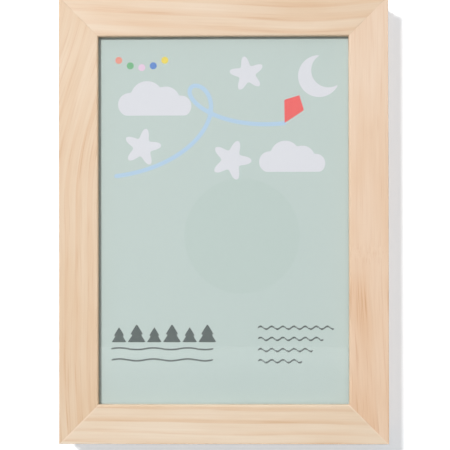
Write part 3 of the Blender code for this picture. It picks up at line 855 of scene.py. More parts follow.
def hinge_cutters(holder):
    """For both hinges, the recesses for leaf and barrel in the door or the box, and the screws' holes."""
    thick = bpy.context.scene.hardware_settings.leaf_thickness
    front = LEAF_SIDES[holder]
    tools = []
    for end in ENDS:
        pin, half_pin = middle_of(f"hinge_{end}_pin")
        low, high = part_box(f"hinge_{end}_{holder}_leaf")
        barrel = pin.x - low.x
        tall = half_pin.z + seat_gap
        sizes = (
            ("leaf", high.x + seat_gap, seat_gap / 2 + thick + seat_gap),
            ("barrel", pin.x + barrel + 2 * seat_gap, barrel + 2 * seat_gap),
        )
        for word, right, depth in sizes:
            near, far = sorted((pin.y - front * overrun, pin.y + front * depth))
            corner = (low.x - 2 * overrun, near, pin.z - tall)
            tools.append(helper_box(f"{word}_pocket", corner, (right, far, pin.z + tall)))
        for word in ("low", "high"):
            tools.append(countersunk(f"hinge_{end}_{holder}_screw_{word}", front, thick, seat_gap))
    return tools


class ARTFRAME_OT_door_members(bpy.types.Operator):
    """Make the door's four mitred pine members"""

    bl_idname = "art_frame.door_members"
    bl_label = "Door members"

    def execute(self, context):
        pane_play = 0.0005
        wood = context.scene.wood_settings
        ease = wood.back_ease
        outer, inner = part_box("door_stile_left")
        opening_x = -inner.x
        opening_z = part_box("door_rail_top")[0].z - frame_middle()
        front, back = outer.y, inner.y
        face = inner.x - outer.x
        pane_front, half_pane = face_of("window_pane", -1)
        lip = pane_front.y - seat_gap
        for side in ("left", "right", "top", "bottom"):
            upright = side in SIDES
            node = f"door_stile_{side}" if upright else f"door_rail_{side}"
            rabbet = (half_pane.x - opening_x if upright else half_pane.z - opening_z) + pane_play
            corners = [(0, front), (face, front), (face, back - wood.seam_chamfer),
                       (face - wood.seam_chamfer, back), (rabbet, back), (rabbet, lip), (0, lip)]
            radii = [wood.inner_arris, wood.outer_arris, ease, ease, ease, crisp, ease]
            inner_edge, half_length = (opening_x, opening_z) if upright else (opening_z, opening_x)
            piece = member(node, eased(corners, radii), inner_edge, half_length, side)
            carve(piece, self.cutters(side))
            mark_grain(piece, node, half_length)
            stand_for(piece, node, pine(node))
        return {"FINISHED"}

    def cutters(self, side):
        """Slots for the bent nails, pockets for hinges and strike plates, and holes for screws."""
        tools = []
        for end in ("bottom", "top"):
            for across in SIDES:
                if side in (end, across):
                    tools.append(self.nail_slot(side, end, across))
        if side in SIDES:
            radius = screw_shanks["turn"] + seat_gap
            for end in ENDS:
                start, half = face_of(f"turn_button_screw_{end}_{side}", 1)
                profile = [(0, 0), (radius, 0), (radius, 2 * half.y), (0, 2 * half.y + seat_gap)]
                tools.append(solid("pilot", turned(profile, start, (0, -1, 0), 24)))
        if side == "left":
            tools += hinge_cutters("door")
        if side == "right":
            for end in ENDS:
                start, half = face_of(f"strike_plate_{end}", 1)
                radius, deep = half.x + seat_gap, 2 * half.y
                tools.append(drill("strike_pocket", start, (0, -1, 0), radius, deep + seat_gap))
                tools.append(countersunk(f"strike_screw_{end}", -1, deep, seat_gap))
        return tools

    def nail_slot(self, side, end, across):
        """The slot for the leg of a bent nail that lies in this member."""
        wall = bpy.context.scene.hardware_settings.nail_wall
        low, high = (corner.copy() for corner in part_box(f"v_nail_{end}_{across}"))
        axis, inner_low = (2, end == "top") if side in SIDES else (0, across == "right")
        if inner_low:
            high[axis] = low[axis] + wall
        else:
            low[axis] = high[axis] - wall
        spread = Vector((seat_gap, seat_gap, seat_gap))
        return helper_box("nail_slot", low - spread, high + spread + Vector((0, overrun, 0)))


class ARTFRAME_OT_case_members(bpy.types.Operator):
    """Make the storage box's four mitred pine walls and the brads at its corners"""

    bl_idname = "art_frame.case_members"
    bl_label = "Box members"

    def execute(self, context):
        wood = context.scene.wood_settings
        ease = wood.back_ease
        outer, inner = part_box("case_side_left")
        inner_x = -inner.x
        inner_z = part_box("case_rail_top")[0].z - frame_middle()
        front, back = outer.y, inner.y
        wall = inner.x - outer.x
        panel_front, half_panel = face_of("back_panel", -1)
        bearing = half_panel.x - inner_x + seat_gap
        seat = panel_front.y - seat_gap
        corners = [(0, front), (wall - wood.seam_chamfer, front), (wall, front + wood.seam_chamfer),
                   (wall, back), (bearing, back), (bearing, seat), (0, seat)]
        profile = eased(corners, [ease, ease, ease, ease, ease, crisp, ease], steps=4)
        for side in ("left", "right", "top", "bottom"):
            upright = side in SIDES
            node = f"case_side_{side}" if upright else f"case_rail_{side}"
            inner_edge, half_length = (inner_x, inner_z) if upright else (inner_z, inner_x)
            piece = member(node, profile, inner_edge, half_length, side, stations=24)
            carve(piece, self.cutters(side))
            mark_grain(piece, node, half_length)
            stand_for(piece, node, pine(node))
        for end in ("bottom", "top"):
            for side, sign in SIDES.items():
                node = f"corner_brad_{end}_{side}"
                stand_for(nail(node, 0, -sign), node, steel())
        return {"FINISHED"}

    def cutters(self, side):
        """Holes for brads, pins and magnets, and pockets for the hinges."""
        tools = []
        for end in ("bottom", "top"):
            for across, sign in SIDES.items():
                if side in (end, across):
                    tools.append(nail(f"corner_brad_{end}_{across}", 0, -sign, seat_gap))
        pins = [f"upper_{side}", f"lower_{side}"] if side in SIDES else [side]
        for word in pins:
            tools.append(nail(f"panel_pin_{word}", 1, -1, seat_gap))
        if side == "left":
            tools += hinge_cutters("case")
        if side == "right":
            for end in ENDS:
                start, half = face_of(f"magnet_{end}", -1)
                tools.append(drill("magnet_hole", start, (0, 1, 0), half.x + seat_gap, 2 * half.y + seat_gap))
        return tools


class ARTFRAME_OT_turn_buttons(bpy.types.Operator):
    """Make the four turn buttons behind the door and their screws"""

    bl_idname = "art_frame.turn_buttons"
    bl_label = "Turn buttons"

    def execute(self, context):
        facets = context.scene.hardware_settings.facets
        for side, sign in SIDES.items():
            for end in ENDS:
                button = f"turn_button_{end}_{side}"
                screw = f"turn_button_screw_{end}_{side}"
                self.button(button, middle_of(screw)[0], sign)
                self.screw(screw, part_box(button)[1].y + seat_gap, facets)
        return {"FINISHED"}

    def button(self, node, pivot, sign):
        """A flat bar between two arcs, a wide one round the screw and a narrow one at the tip."""
        tip = 0.0025
        rim = 0.00025
        low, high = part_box(node)
        wide = (high.z - low.z) / 2
        reach = (high.x - low.x) - wide - tip
        slant = np.degrees(np.arcsin((wide - tip) / reach))
        outline = np.concatenate((
            arc((0, 0), wide, 90 - slant, 270 + slant, 24),
            arc((reach, 0), tip, slant - 90, 90 - slant, 20),
        ))
        outline[:, 0] *= -sign
        outline += (pivot.x, pivot.z)
        piece = solid(f"{node}_made", plate(outline, low.y, high.y, rim))
        hole = screw_shanks["turn"] + seat_gap
        start = (pivot.x, low.y, pivot.z)
        carve(piece, [drill("button_hole", start, (0, 1, 0), hole, high.y - low.y + overrun, 32)])
        stand_for(piece, node, brass())

    def screw(self, node, under_head, facets):
        """A domed head with crossed slots, and a shank with a point."""
        slot_share = 0.62
        top, half = face_of(node, 1)
        height = top.y - under_head
        reach = 2 * half.y - height
        shank = screw_shanks["turn"]
        profile = [*dome_profile(half.x, height), (shank, 0), (shank, neck_share * reach), (0, reach)]
        piece = solid(f"{node}_made", turned(profile, (top.x, under_head, top.z), (0, -1, 0), facets))
        carve(piece, crossed_slots(top, -1, slot_share * half.x))
        stand_for(piece, node, brass())


class ARTFRAME_OT_hinges(bpy.types.Operator):
    """Make the two butt hinges with their leaves, pins and screws"""

    bl_idname = "art_frame.hinges"
    bl_label = "Hinges"

    def execute(self, context):
        pin_ease_share = 0.25
        hardware = context.scene.hardware_settings
        for end in ENDS:
            node = f"hinge_{end}_pin"
            pin, half = middle_of(node)
            for holder, front in LEAF_SIDES.items():
                self.leaf(f"hinge_{end}_{holder}_leaf", pin, half, front, hardware)
                for word in ("low", "high"):
                    screw = f"hinge_{end}_{holder}_screw_{word}"
                    stand_for(countersunk(screw, front, hardware.leaf_thickness), screw, brass())
            profile = rod_profile(half.x, -half.z, half.z, pin_ease_share * half.x)
            stand_for(solid(f"{node}_made", turned(profile, pin, (0, 0, 1), 32)), node, steel())
        return {"FINISHED"}

    def leaf(self, node, pin, half, front, hardware):
        """A leaf with rounded corners, united with its knuckles, then bored, slit and countersunk.

        The slit shows where the strip that was rolled into the knuckle comes back to the leaf.
        """
        corner = 0.0008
        rim = 0.00008
        knuckle_ease = 0.00015
        slit_start, slit_end = 0.00010, 0.00022
        thick = hardware.leaf_thickness
        low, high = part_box(node)
        barrel = pin.x - low.x
        edge = high.x - pin.x
        near = pin.y + front * seat_gap / 2
        y_low, y_high = sorted((near, near + front * thick))
        notch = barrel + seat_gap
        knuckle = hardware.knuckle_share * half.z
        tall = half.z
        if front < 0:
            step = knuckle
            corners = [(notch, -tall), (edge, -tall), (edge, tall), (notch, tall),
                       (notch, step), (0, step), (0, -step), (notch, -step)]
            knuckles = [(-knuckle, knuckle)]
        else:
            step = knuckle + seat_gap
            corners = [(0, -tall), (edge, -tall), (edge, tall), (0, tall),
                       (0, step), (notch, step), (notch, -step), (0, -step)]
            knuckles = [(-tall, -step), (step, tall)]
        radii = [crisp, corner, corner, crisp, crisp, crisp, crisp, crisp]
        outline = eased(corners, radii) + (pin.x, pin.z)
        piece = solid(f"{node}_made", plate(outline, y_low, y_high, rim, steps=2))
        joins = [solid("knuckle", turned(rod_profile(barrel, *span, knuckle_ease), pin, (0, 0, 1), 48))
                 for span in knuckles]
        bore = half.x + seat_gap
        cuts = [drill("bore", pin - Vector((0, 0, tall)), (0, 0, 1), bore, 2 * tall + overrun, 32)]
        slit_low, slit_high = sorted((near - front * slit_start, near - front * slit_end))
        cuts.append(helper_box("slit", (pin.x + bore / 2, slit_low, pin.z - tall - overrun),
                               (pin.x + notch, slit_high, pin.z + tall + overrun)))
        for word in ("low", "high"):
            cuts.append(countersunk(node.replace("leaf", f"screw_{word}"), front, thick, sink_spare))
        carve(piece, cuts, joins)
        stand_for(piece, node, brass())


class ARTFRAME_OT_catches(bpy.types.Operator):
    """Make the magnets and the strike plates with their screws"""

    bl_idname = "art_frame.catches"
    bl_label = "Catches"

    def execute(self, context):
        facets = context.scene.hardware_settings.facets
        for end in ENDS:
            magnet = f"magnet_{end}"
            stand_for(self.disc(magnet, 1, facets), magnet, nickel())
            strike = f"strike_plate_{end}"
            screw = f"strike_screw_{end}"
            _, half = middle_of(strike)
            piece = self.disc(strike, -1, facets)
            carve(piece, [countersunk(screw, -1, 2 * half.y, sink_spare)])
            stand_for(piece, strike, steel())
            stand_for(countersunk(screw, -1, 2 * half.y), screw, steel())
        return {"FINISHED"}

    def disc(self, node, direction, facets):
        """A flat disc whose open rim is rounded and whose hidden rim is chamfered."""
        ease = 0.0002
        bulge_share = 0.3  # about how far an arc's middle stands off the corner that it rounds
        bulge = bulge_share * ease
        start, half = face_of(node, -direction)
        radius, deep = half.x, 2 * half.y
        profile = [(0, 0), (radius - ease, 0), (radius - bulge, bulge), (radius, ease),
                   (radius, deep - ease), (radius - ease, deep), (0, deep)]
        return solid(f"{node}_made", turned(profile, start, (0, direction, 0), facets))


class ARTFRAME_OT_back(bpy.types.Operator):
    """Finish the back panel and make its pins, the toothed hanger and the rivets"""

    bl_idname = "art_frame.back"
    bl_label = "Back and hanger"

    def execute(self, context):
        dress("back_panel", hardboard())
        for word in ("upper_left", "lower_left", "upper_right", "lower_right", "top", "bottom"):
            node = f"panel_pin_{word}"
            stand_for(nail(node, 1, -1), node, steel())
        self.hanger()
        for side in SIDES:
            self.rivet(f"hanger_rivet_{side}")
        return {"FINISHED"}

    def rivet(self, node):
        """A domed head, a shank and a flat clinched end inside the box."""
        height = 0.0008
        shank = 0.0012
        clinch = 0.0017  # radius of the clinched end
        clinch_depth = 0.0005
        rim_depth, rim_width = 0.0001, 0.0002
        back, half = face_of(node, 1)
        reach = 2 * half.y - height
        tail = [(shank, 0), (shank, reach - clinch_depth), (clinch, reach - clinch_depth),
                (clinch, reach - rim_depth), (clinch - rim_width, reach), (0, reach)]
        start = (back.x, back.y - height, back.z)
        rings = turned([*dome_profile(half.x, height), *tail], start, (0, -1, 0), 40)
        stand_for(solid(f"{node}_made", rings), node, steel())

    def hanger(self):
        """A strip raised in its middle by a smooth step, whose lower edge is a triangle wave of teeth."""
        thick = 0.0008
        foot = 0.0080  # flat end that takes the rivet
        ramp = 0.0015
        tooth = 0.0012
        teeth = 9
        rim_share = 0.12  # rounding of the strip's edges, as a share of each side
        node = "wall_hanger"
        low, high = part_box(node)
        half = (high.x - low.x) / 2
        raised = half - foot - ramp
        flat = np.linspace(-half, -half + foot, 9)
        rise = np.linspace(-half + foot, -raised, 9)
        end = np.concatenate((flat[:-1], rise[:-1]))
        x = np.concatenate((end, np.linspace(-raised, raised, 16 * teeth + 1), -end[::-1]))
        climb = np.clip((half - foot - np.abs(x)) / ramp, 0, 1)
        climb = climb * climb * (3 - 2 * climb)
        stand = climb * (high.y - low.y - thick)
        phase = (x + raised) / (2 * raised) * teeth
        notch = np.where(np.abs(x) < raised, tooth * (1 - np.abs(2 * (phase - np.floor(phase)) - 1)), 0)
        section = eased([(0, 0), (1, 0), (1, 1), (0, 1)], rim_share, steps=2)
        y = low.y + stand[:, None] + section[None, :, 0] * thick
        bottom = (low.z + notch)[:, None]
        z = bottom + section[None, :, 1] * (high.z - bottom)
        rings = np.stack((np.broadcast_to(x[:, None], y.shape), y, z), -1)
        stand_for(solid(f"{node}_made", rings), node, steel())


class ARTFRAME_OT_strap(bpy.types.Operator):
    """Make the woven elastic strap and the staples that hold it"""

    bl_idname = "art_frame.strap"
    bl_label = "Storage strap"

    def execute(self, context):
        thick = 0.0008
        bend = 0.0012  # radius of the band's middle line where it turns
        ribs = 9
        rib_share = 0.20  # how much of its thickness the band loses between its ribs
        edge_share = 0.35  # of the thickness, each way from the middle line, at the band's edges
        node = "storage_strap"
        low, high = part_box(node)
        left, right = low.x + thick / 2, high.x - thick / 2
        front = low.y + thick / 2
        leg = np.linspace(high.y, front + bend, 12)
        path = np.concatenate((
            straight(left, leg)[:-1],
            arc((left + bend, front + bend), bend, 180, 270, 8),
            straight(np.linspace(left + bend, right - bend, 90), front)[1:-1],
            arc((right - bend, front + bend), bend, 270, 360, 8),
            straight(right, leg[::-1])[1:],
        ))
        path = np.insert(path, 2, (low.z + high.z) / 2, axis=1)
        across = np.linspace(-1, 1, 16 * ribs + 1)
        valley = 1 - np.abs(np.sin(np.pi * ribs * (across + 1) / 2))
        swell = thick / 2 * (1 - rib_share * valley)
        swell[[0, -1]] = edge_share * thick
        face = np.stack((swell, across * (high.z - low.z) / 2), -1)
        section = np.concatenate((face, face[::-1] * (-1, 1)))
        piece = solid(f"{node}_made", swept(path, section, (0, 0, 1)))
        self.map_band(piece.data, path)
        stand_for(piece, node, elastic())
        for side, sign in SIDES.items():
            self.staple(f"strap_staple_{side}", sign)
        return {"FINISHED"}

    def map_band(self, mesh, path):
        """A UV map in metres: how far along the strap's line its nearest point is, and the height."""
        places = points_of(mesh)
        steps = np.concatenate(([0], np.cumsum(np.linalg.norm(np.diff(path, axis=0), axis=1))))
        away = places[:, None, :2] - path[None, :, :2]
        nearest = (away ** 2).sum(-1).argmin(1)
        corners = np.zeros(len(mesh.loops), int)
        mesh.loops.foreach_get("vertex_index", corners)
        uv = np.stack((steps[nearest], places[:, 2]), -1)[corners]
        layer = mesh.uv_layers.new(name="band")
        layer.data.foreach_set("uv", uv.ravel())

    def staple(self, node, sign):
        """Round wire along a U: a leg into the wood, a bend, the crown, a bend and the other leg."""
        bend = 0.0007
        low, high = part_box(node)
        radius = (high.y - low.y) / 2
        crown, tip = (low.x + radius, high.x) if sign > 0 else (high.x - radius, low.x)
        top, bottom = high.z - radius, low.z + radius
        centre_x = crown + sign * bend
        upper = arc((centre_x, top - bend), bend, 90, 90 + 90 * sign, 6)
        lower = np.stack((upper[::-1, 0], bottom + top - upper[::-1, 1]), -1)
        leg = np.linspace(tip, centre_x, 6)[:-1]
        between = np.linspace(upper[-1, 1], lower[0, 1], 8)[1:-1]
        path = np.concatenate((
            straight(leg, top), upper, straight(crown, between), lower, straight(leg[::-1], bottom),
        ))
        path = np.insert(path, 1, (low.y + high.y) / 2, axis=1)
        circle = arc((0, 0), radius, 0, 360, 14)[:-1]
        stand_for(solid(f"{node}_made", swept(path, circle, (0, 1, 0))), node, steel())


def star(u, v, centre, radius, turn_deg):
    """A soft five-pointed star: its rim's radius swings with the angle. Positive inside."""
    mean_share, point_share, blunt_share = 0.74, 0.26, 0.03
    slant = 0.8  # makes up for the rim's slant, so that its ink fades out over the usual width
    x, y = u - centre[0], v - centre[1]
    angle = np.arctan2(x, y) - np.radians(turn_deg)
    rim = radius * (mean_share + point_share * np.cos(5 * angle) + blunt_share * np.cos(10 * angle))
    return slant * (rim - np.hypot(x, y))


def disc(u, v, centre, radius):
    """A plain disc. Positive inside."""
    return radius - np.hypot(u - centre[0], v - centre[1])


def cloud(u, v, centre, size):
    """Four puffs in a row and a bar that fills them in, cut off flat below. Positive inside."""
    puff_shares = ((-0.62, 0.02, 0.30), (-0.18, 0.20, 0.42), (0.30, 0.12, 0.36), (0.68, -0.02, 0.27))
    floor_share, bar_share, half_share, shift_share = 0.26, 0.10, 0.70, 0.03
    right, up = (u - centre[0]) / size, (v - centre[1]) / size
    puffs = [disc(right, up, (x, y), radius) for x, y, radius in puff_shares]
    bar = np.minimum(bar_share - up, half_share - np.abs(right - shift_share))
    return size * np.minimum(np.maximum.reduce([*puffs, bar]), up + floor_share)


def crescent(u, v, centre, radius):
    """A disc less a smaller one up to its right. Positive inside."""
    right_share, up_share, bite_share = 0.45, 0.28, 0.82
    bite = disc(u, v, (centre[0] + right_share * radius, centre[1] + up_share * radius), bite_share * radius)
    return np.minimum(disc(u, v, centre, radius), -bite)


def kite(u, v, centre, wide, tall, turn_deg):
    """A diamond, longer below its middle. Positive inside."""
    upper_share, lower_share = 0.7, 1.3
    turn = np.radians(turn_deg)
    x = (u - centre[0]) * np.cos(turn) + (v - centre[1]) * np.sin(turn)
    y = (v - centre[1]) * np.cos(turn) - (u - centre[0]) * np.sin(turn)
    y = np.where(y > 0, y / upper_share, y / lower_share)
    return (1 - np.abs(x) / wide - np.abs(y) / tall) * wide * tall / np.hypot(wide, tall)


def stroke(u, v, path, width):
    """A line of one width along a path of points: half the width less the distance to its nearest part."""
    nearest = np.full(u.shape, np.inf)
    for start, end in zip(path, path[1:]):
        run = end - start
        share_along = ((u - start[0]) * run[0] + (v - start[1]) * run[1]) / (run @ run)
        share_along = np.clip(share_along, 0, 1)
        gap = np.hypot(u - start[0] - share_along * run[0], v - start[1] - share_along * run[1])
        nearest = np.minimum(nearest, gap)
    return width / 2 - nearest


def string_path():
    """The kite's string: a line that climbs to the right with one turn of an ellipse added, so it loops."""
    start = (-0.082, 0.058)
    run = np.array((0.1287, 0.0402))
    ellipse = np.array((0.034, 0.024))
    step = np.linspace(0, 1, 110)[:, None]
    turn = 2 * np.pi * (step - 0.5)
    return start + run * step + ellipse * np.concatenate((-np.sin(turn), np.cos(turn)), 1)


def tree(u, v, centre, size):
    """A plain fir: two triangles one over the other. Positive inside."""
    layer_shares = ((0.0, 0.50, 0.75), (0.42, 0.36, 0.58))
    layers = []
    for rise, half, tall in layer_shares:
        y = v - centre[1] - rise * size
        slope = half / tall
        edge = (half * size - np.abs(u - centre[0]) - slope * y) / np.hypot(1, slope)
        layers.append(np.minimum(edge, y))
    return np.maximum.reduce(layers)


def wave(u, v, start, span, height, width, pitch):
    """A line along X that rises and falls by a sine, cut to its span. Positive inside."""
    line = start[1] + height * np.sin(2 * np.pi * (u - start[0]) / pitch)
    return np.minimum(width / 2 - np.abs(v - line), np.minimum(u - start[0], start[0] + span - u))


def print_inks(u, v):
    """Each ink's name, screen colour and field over the sheet, in metres and positive where it prints."""
    row_gap = 0.0085
    dot_start, dot_pitch, dot_sag, dot_radius = (-0.080, 0.1225), 0.0088, 0.0014, 0.0027
    dots = (("coral", (233, 148, 130)), ("leaf", (110, 178, 128)), ("pink", (232, 202, 226)),
            ("blue", (84, 132, 204)), ("yellow", (238, 214, 78)))
    pale = np.maximum.reduce([
        cloud(u, v, (-0.053, 0.088), size=0.030),
        cloud(u, v, (0.052, 0.044), size=0.027),
        star(u, v, (-0.062, 0.056), radius=0.014, turn_deg=12),
        star(u, v, (0.018, 0.112), radius=0.013, turn_deg=-10),
        star(u, v, (0.006, 0.046), radius=0.015, turn_deg=20),
        crescent(u, v, (0.073, 0.110), radius=0.016),
    ])
    dark = [
        tree(u, v, (-0.080 + 0.0135 * step, -0.0930), size=0.0115 + 0.0025 * (step % 2))
        for step in range(6)
    ]
    dark += [
        wave(u, v, (-0.086, -0.098 - row_gap * row), 0.078, height=0.0007, width=0.0013, pitch=0.026)
        for row in range(2)
    ]
    dark += [
        wave(u, v, (0.026, -0.082 - row_gap * row), 0.058 - 0.008 * row, height=0.0011, width=0.0014,
             pitch=0.0085)
        for row in range(4)
    ]
    inks = [
        ("ghost", (187, 203, 198), disc(u, v, (0.014, -0.012), radius=0.044)),
        ("string", (178, 206, 230), stroke(u, v, string_path(), width=0.0032)),
        ("pale", (223, 223, 230), pale),
        ("kite", (238, 86, 84), kite(u, v, (0.054, 0.088), wide=0.0085, tall=0.012, turn_deg=-28)),
    ]
    for step, (name, rgb) in enumerate(dots):
        hang = dot_sag * step * (len(dots) - 1 - step)
        place = (dot_start[0] + dot_pitch * step, dot_start[1] - hang)
        inks.append((name, rgb, disc(u, v, place, dot_radius)))
    inks.append(("dark", (70, 82, 80), np.maximum.reduce(dark)))
    return inks


def printed_paper(inks):
    """Uncoated paper with a printed ground, and each ink where its own field is above zero."""
    settings = bpy.context.scene.sheet_settings
    made, graph, shader = new_material("printed_sheet")
    place = placed(graph)
    fibre = graph.noise(place, 700, detail=3.0)
    cast = graph.noise(graph.scaled(place, (7, 7, 5)), 1.0, detail=1.0)
    ground = graph.mix(graph.between(cast, 0.3, 0.7), opaque(settings.ground), opaque(tone(192, 206, 202)))
    for name, rgb, _ in inks:
        field = graph.add("Attribute", attribute_name=f"ink_{name}").outputs["Fac"]
        mask = graph.between(field, -settings.edge / 2, settings.edge / 2)
        ground = graph.mix(mask, ground, opaque(tone(*rgb)))
    bare = graph.add("Attribute", attribute_name="bare").outputs["Fac"]
    ground = graph.mix(graph.math("GREATER_THAN", bare, 0.5), ground, opaque(settings.paper))
    shade = graph.math("MULTIPLY_ADD", graph.math("SUBTRACT", fibre, 0.5), 0.03, 1.0)
    ground = graph.vector("MULTIPLY", ground, graph.combine(shade, shade, shade))
    graph.join(ground, shader.inputs["Base Color"])
    shader.inputs["Roughness"].default_value = 0.75
    shader.inputs["Specular IOR Level"].default_value = 0.3
    bumped(graph, shader, fibre, relief=0.00002)
    return made


class ARTFRAME_OT_glazing(bpy.types.Operator):
    """Make the printed sheet and finish the pane, the backing and the bent nails"""

    bl_idname = "art_frame.glazing"
    bl_label = "Pane, sheet and backing"

    def execute(self, context):
        self.sheet(context)
        dress("window_pane", clear_pane())
        dress("door_backing", hardboard())
        for end in ("bottom", "top"):
            for side in SIDES:
                dress(f"v_nail_{end}_{side}", steel())
        return {"FINISHED"}

    def sheet(self, context):
        """A grid that carries the inks' fields in front, and one plain face behind."""
        unprinted = -1.0
        node = "display_sheet"
        grid = context.scene.sheet_settings.grid
        low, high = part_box(node)
        middle = (low + high) / 2
        columns = round((high.x - low.x) / grid) + 1
        rows = round((high.z - low.z) / grid) + 1
        x, z = np.meshgrid(np.linspace(low.x, high.x, columns), np.linspace(low.z, high.z, rows))
        front = np.stack((x, np.full(x.shape, low.y), z), -1).reshape(-1, 3)
        corners = ((low.x, low.z), (high.x, low.z), (high.x, high.z), (low.x, high.z))
        back = [(side, high.y, end) for side, end in corners]
        index = np.arange(rows * columns).reshape(rows, columns)
        quads = np.stack((index[:-1, :-1], index[:-1, 1:], index[1:, 1:], index[1:, :-1]), -1).reshape(-1, 4)
        behind = rows * columns + np.arange(4)
        edges = (index[0, :], index[:, -1], index[-1, ::-1], index[::-1, 0])
        rim = [np.append(edge, (behind[(turn + 1) % 4], behind[turn])) for turn, edge in enumerate(edges)]
        faces = [*quads.tolist(), *(face.tolist() for face in rim), behind.tolist()]
        mesh = bpy.data.meshes.new(f"{node}_made")
        mesh.from_pydata(np.concatenate((front, back)).tolist(), [], faces)
        piece = bpy.data.objects.new(f"{node}_made", mesh)
        context.scene.collection.objects.link(piece)
        inks = print_inks(x - middle.x, z - middle.z)
        for name, _, field in inks:
            mark(mesh, f"ink_{name}", np.append(field, np.full(4, unprinted)))
        mark(mesh, "bare", np.append(np.zeros(x.size), np.ones(4)))
        stand_for(piece, node, printed_paper(inks))
        piece.modifiers.clear()  # flat faces need no even shading


def stage_plane(name, corners, finish):
    """A flat piece of the stage, its front on the side that its corners turn round to the left."""
    mesh = bpy.data.meshes.new(name)
    mesh.from_pydata(corners, [], [(0, 1, 2, 3)])
    mesh.materials.append(finish)
    plane = bpy.data.objects.new(name, mesh)
    bpy.context.scene.collection.objects.link(plane)


def viewing_rays(graph, path):
    """One for rays from the camera, from reflections and through the pane, and zero for other rays."""
    seen = graph.math("MAXIMUM", path["Is Camera Ray"], path["Is Glossy Ray"])
    return graph.math("MAXIMUM", seen, path["Is Transmission Ray"])


def stage_white(settings):
    """A matt white that only the camera, reflections and the pane see, and only from its front.

    Its own glow lifts it to white where it is lit, and the object's shadow stays. Further from the
    frame, where the lamp is weaker, the glow that the camera sees rises to plain white. The glow that
    is reflected rises so only towards the floor's far end, which leaves no horizon in the pane.
    """
    camera_fade = (0.35, 0.90)  # ways from the frame's middle between which the glow rises
    mirror_fade = (3.4, 5.4)
    made = bpy.data.materials.new("stage_white")
    made.use_nodes = True
    made.node_tree.nodes.clear()
    graph = Graph(made.node_tree)
    path = graph.add("LightPath").outputs
    hidden = graph.add("NewGeometry").outputs["Backfacing"]
    seen = graph.product(viewing_rays(graph, path), graph.math("SUBTRACT", 1.0, hidden))
    matt = graph.add("BsdfDiffuse", (0.8, 0.8, 0.8, 1))
    away = graph.vector("DISTANCE", placed(graph), (0, 0, frame_middle()))
    far = graph.product(path["Is Camera Ray"], graph.between(away, *camera_fade))
    far = graph.math("MAXIMUM", far, graph.between(away, *mirror_fade))
    tint = graph.mix(far, opaque(settings.wall_glow), (1, 1, 1, 1))
    glow = graph.add("Emission", tint, 1.0)
    both = graph.add("AddShader", matt.outputs[0], glow.outputs[0])
    through = graph.add("BsdfTransparent")
    blend = graph.add("MixShader", seen, through.outputs[0], both.outputs[0])
    output = graph.add("OutputMaterial")
    graph.join(blend.outputs[0], output.inputs["Surface"])
    return made


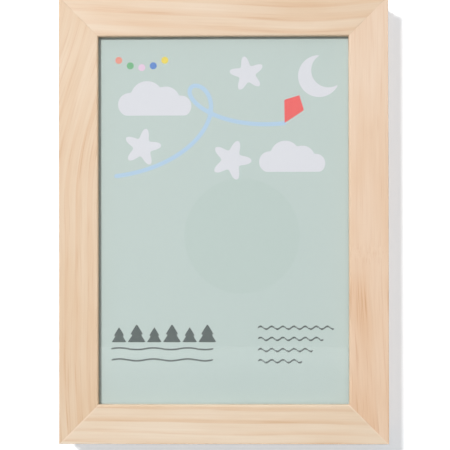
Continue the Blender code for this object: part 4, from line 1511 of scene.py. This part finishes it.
class ARTFRAME_OT_stage(bpy.types.Operator):
    """Set up the wall, the floor, the soft surround, the lamps and the camera"""

    bl_idname = "art_frame.stage"
    bl_label = "Stage"

    def execute(self, context):
        wall = 0.0004  # just behind the frame's back
        floor, top = -0.85, 3.0
        wide = 3.0  # each way from the middle
        deep = 5.4
        settings = context.scene.stage_settings
        white = stage_white(settings)
        left_foot, right_foot = (-wide, wall, floor), (wide, wall, floor)
        stage_plane("wall", [left_foot, right_foot, (wide, wall, top), (-wide, wall, top)], white)
        stage_plane("floor", [(-wide, -deep, floor), (wide, -deep, floor), right_foot, left_foot], white)
        self.world(context, settings)
        self.lamp(context, settings)
        self.camera(context, settings)
        context.scene.view_settings.view_transform = "Standard"
        return {"FINISHED"}

    def world(self, context, settings):
        """Soft light, a little stronger from above. The camera, reflections and the pane see it as white."""
        world = bpy.data.worlds.new("surround")
        world.use_nodes = True
        graph = Graph(world.node_tree)
        seen = viewing_rays(graph, graph.add("LightPath").outputs)
        height = graph.separate(graph.add("TexCoord").outputs["Generated"])[2]
        even = settings.surround
        soft = graph.math("MULTIPLY_ADD", height, even * settings.surround_tilt, even)
        strength = graph.add("Mix", seen, data_type="FLOAT")
        graph.join(soft, strength.inputs[2])
        strength.inputs[3].default_value = 1.0
        background = world.node_tree.nodes["Background"]
        background.inputs["Color"].default_value = (1, 1, 1, 1)
        graph.join(strength.outputs[0], background.inputs["Strength"])
        context.scene.world = world

    def lamp(self, context, settings):
        """The key lamp, turned past the frame so that it lights it evenly, and two lamps behind the wall.

        Those behind stand further back than the frame's front, so they reach only its sides and its back.
        """
        key_place = (-0.586, -1.667, 0.420)
        key_turn = Vector((3.0, 0, -3.4))  # from the frame's middle to where the key lamp points
        rim_radius = 0.5
        middle = Vector((0, 0, frame_middle()))
        lamps = (
            ("key_lamp", settings.key_radius, settings.key_power, key_place, middle + key_turn),
            ("rim_lamp_right", rim_radius, settings.rim_power, (1.5, 1.1, 0.9), middle),
            ("rim_lamp_left", rim_radius, settings.rim_power, (-1.5, 1.1, -0.9), middle),
        )
        for name, radius, strength, place, target in lamps:
            light = bpy.data.lights.new(name, "AREA")
            light.shape = "DISK"
            light.size = 2 * radius
            light.energy = strength
            lamp = bpy.data.objects.new(name, light)
            lamp.location = place
            lamp.rotation_euler = (target - lamp.location).to_track_quat("-Z", "Y").to_euler()
            context.scene.collection.objects.link(lamp)

    def camera(self, context, settings):
        """The camera, turned by its yaw, pitch and roll in radians."""
        place = (0.0112, -0.8181, -0.1490)
        yaw, pitch, roll = -0.01288, 0.00427, -0.00153
        forward = Vector((np.sin(yaw) * np.cos(pitch), np.cos(yaw) * np.cos(pitch), np.sin(pitch)))
        right = Vector((np.cos(yaw), -np.sin(yaw), 0))
        up = right.cross(forward)
        tilted = right * np.cos(roll) + up * np.sin(roll)
        upright = up * np.cos(roll) - right * np.sin(roll)
        data = bpy.data.cameras.new("camera")
        data.lens = settings.lens
        data.sensor_width = 36
        data.sensor_fit = "HORIZONTAL"
        camera = bpy.data.objects.new("camera", data)
        turn = Matrix((tilted, upright, -forward)).transposed()
        camera.matrix_world = Matrix.Translation(place) @ turn.to_4x4()
        context.scene.collection.objects.link(camera)
        context.scene.camera = camera


OPERATORS = (
    ARTFRAME_OT_stage,
    ARTFRAME_OT_door_members,
    ARTFRAME_OT_glazing,
    ARTFRAME_OT_turn_buttons,
    ARTFRAME_OT_hinges,
    ARTFRAME_OT_case_members,
    ARTFRAME_OT_catches,
    ARTFRAME_OT_back,
    ARTFRAME_OT_strap,
)
SETTINGS = {
    "wood_settings": WoodSettings,
    "sheet_settings": SheetSettings,
    "hardware_settings": HardwareSettings,
    "stage_settings": StageSettings,
}


class ARTFRAME_PT_sidebar(bpy.types.Panel):
    """Lists the settings and the steps that dress the frame"""

    bl_idname = "ARTFRAME_PT_sidebar"
    bl_label = "Art Frame"
    bl_space_type = "VIEW_3D"
    bl_region_type = "UI"
    bl_category = "Art Frame"

    def draw(self, context):
        for name, group in SETTINGS.items():
            box = self.layout.box()
            for key in group.__annotations__:
                box.prop(getattr(context.scene, name), key)
        for operator in OPERATORS:
            self.layout.operator(operator.bl_idname)


def register():
    for name, group in SETTINGS.items():
        bpy.utils.register_class(group)
        setattr(bpy.types.Scene, name, PointerProperty(type=group))
    for operator in OPERATORS:
        bpy.utils.register_class(operator)
    bpy.utils.register_class(ARTFRAME_PT_sidebar)


def unregister():
    bpy.utils.unregister_class(ARTFRAME_PT_sidebar)
    for operator in reversed(OPERATORS):
        bpy.utils.unregister_class(operator)
    for name, group in SETTINGS.items():
        delattr(bpy.types.Scene, name)
        bpy.utils.unregister_class(group)


def main():
    register()
    for operator in OPERATORS:
        group, name = operator.bl_idname.split(".")
        getattr(getattr(bpy.ops, group), name)()


if __name__ == "__main__":
    main()
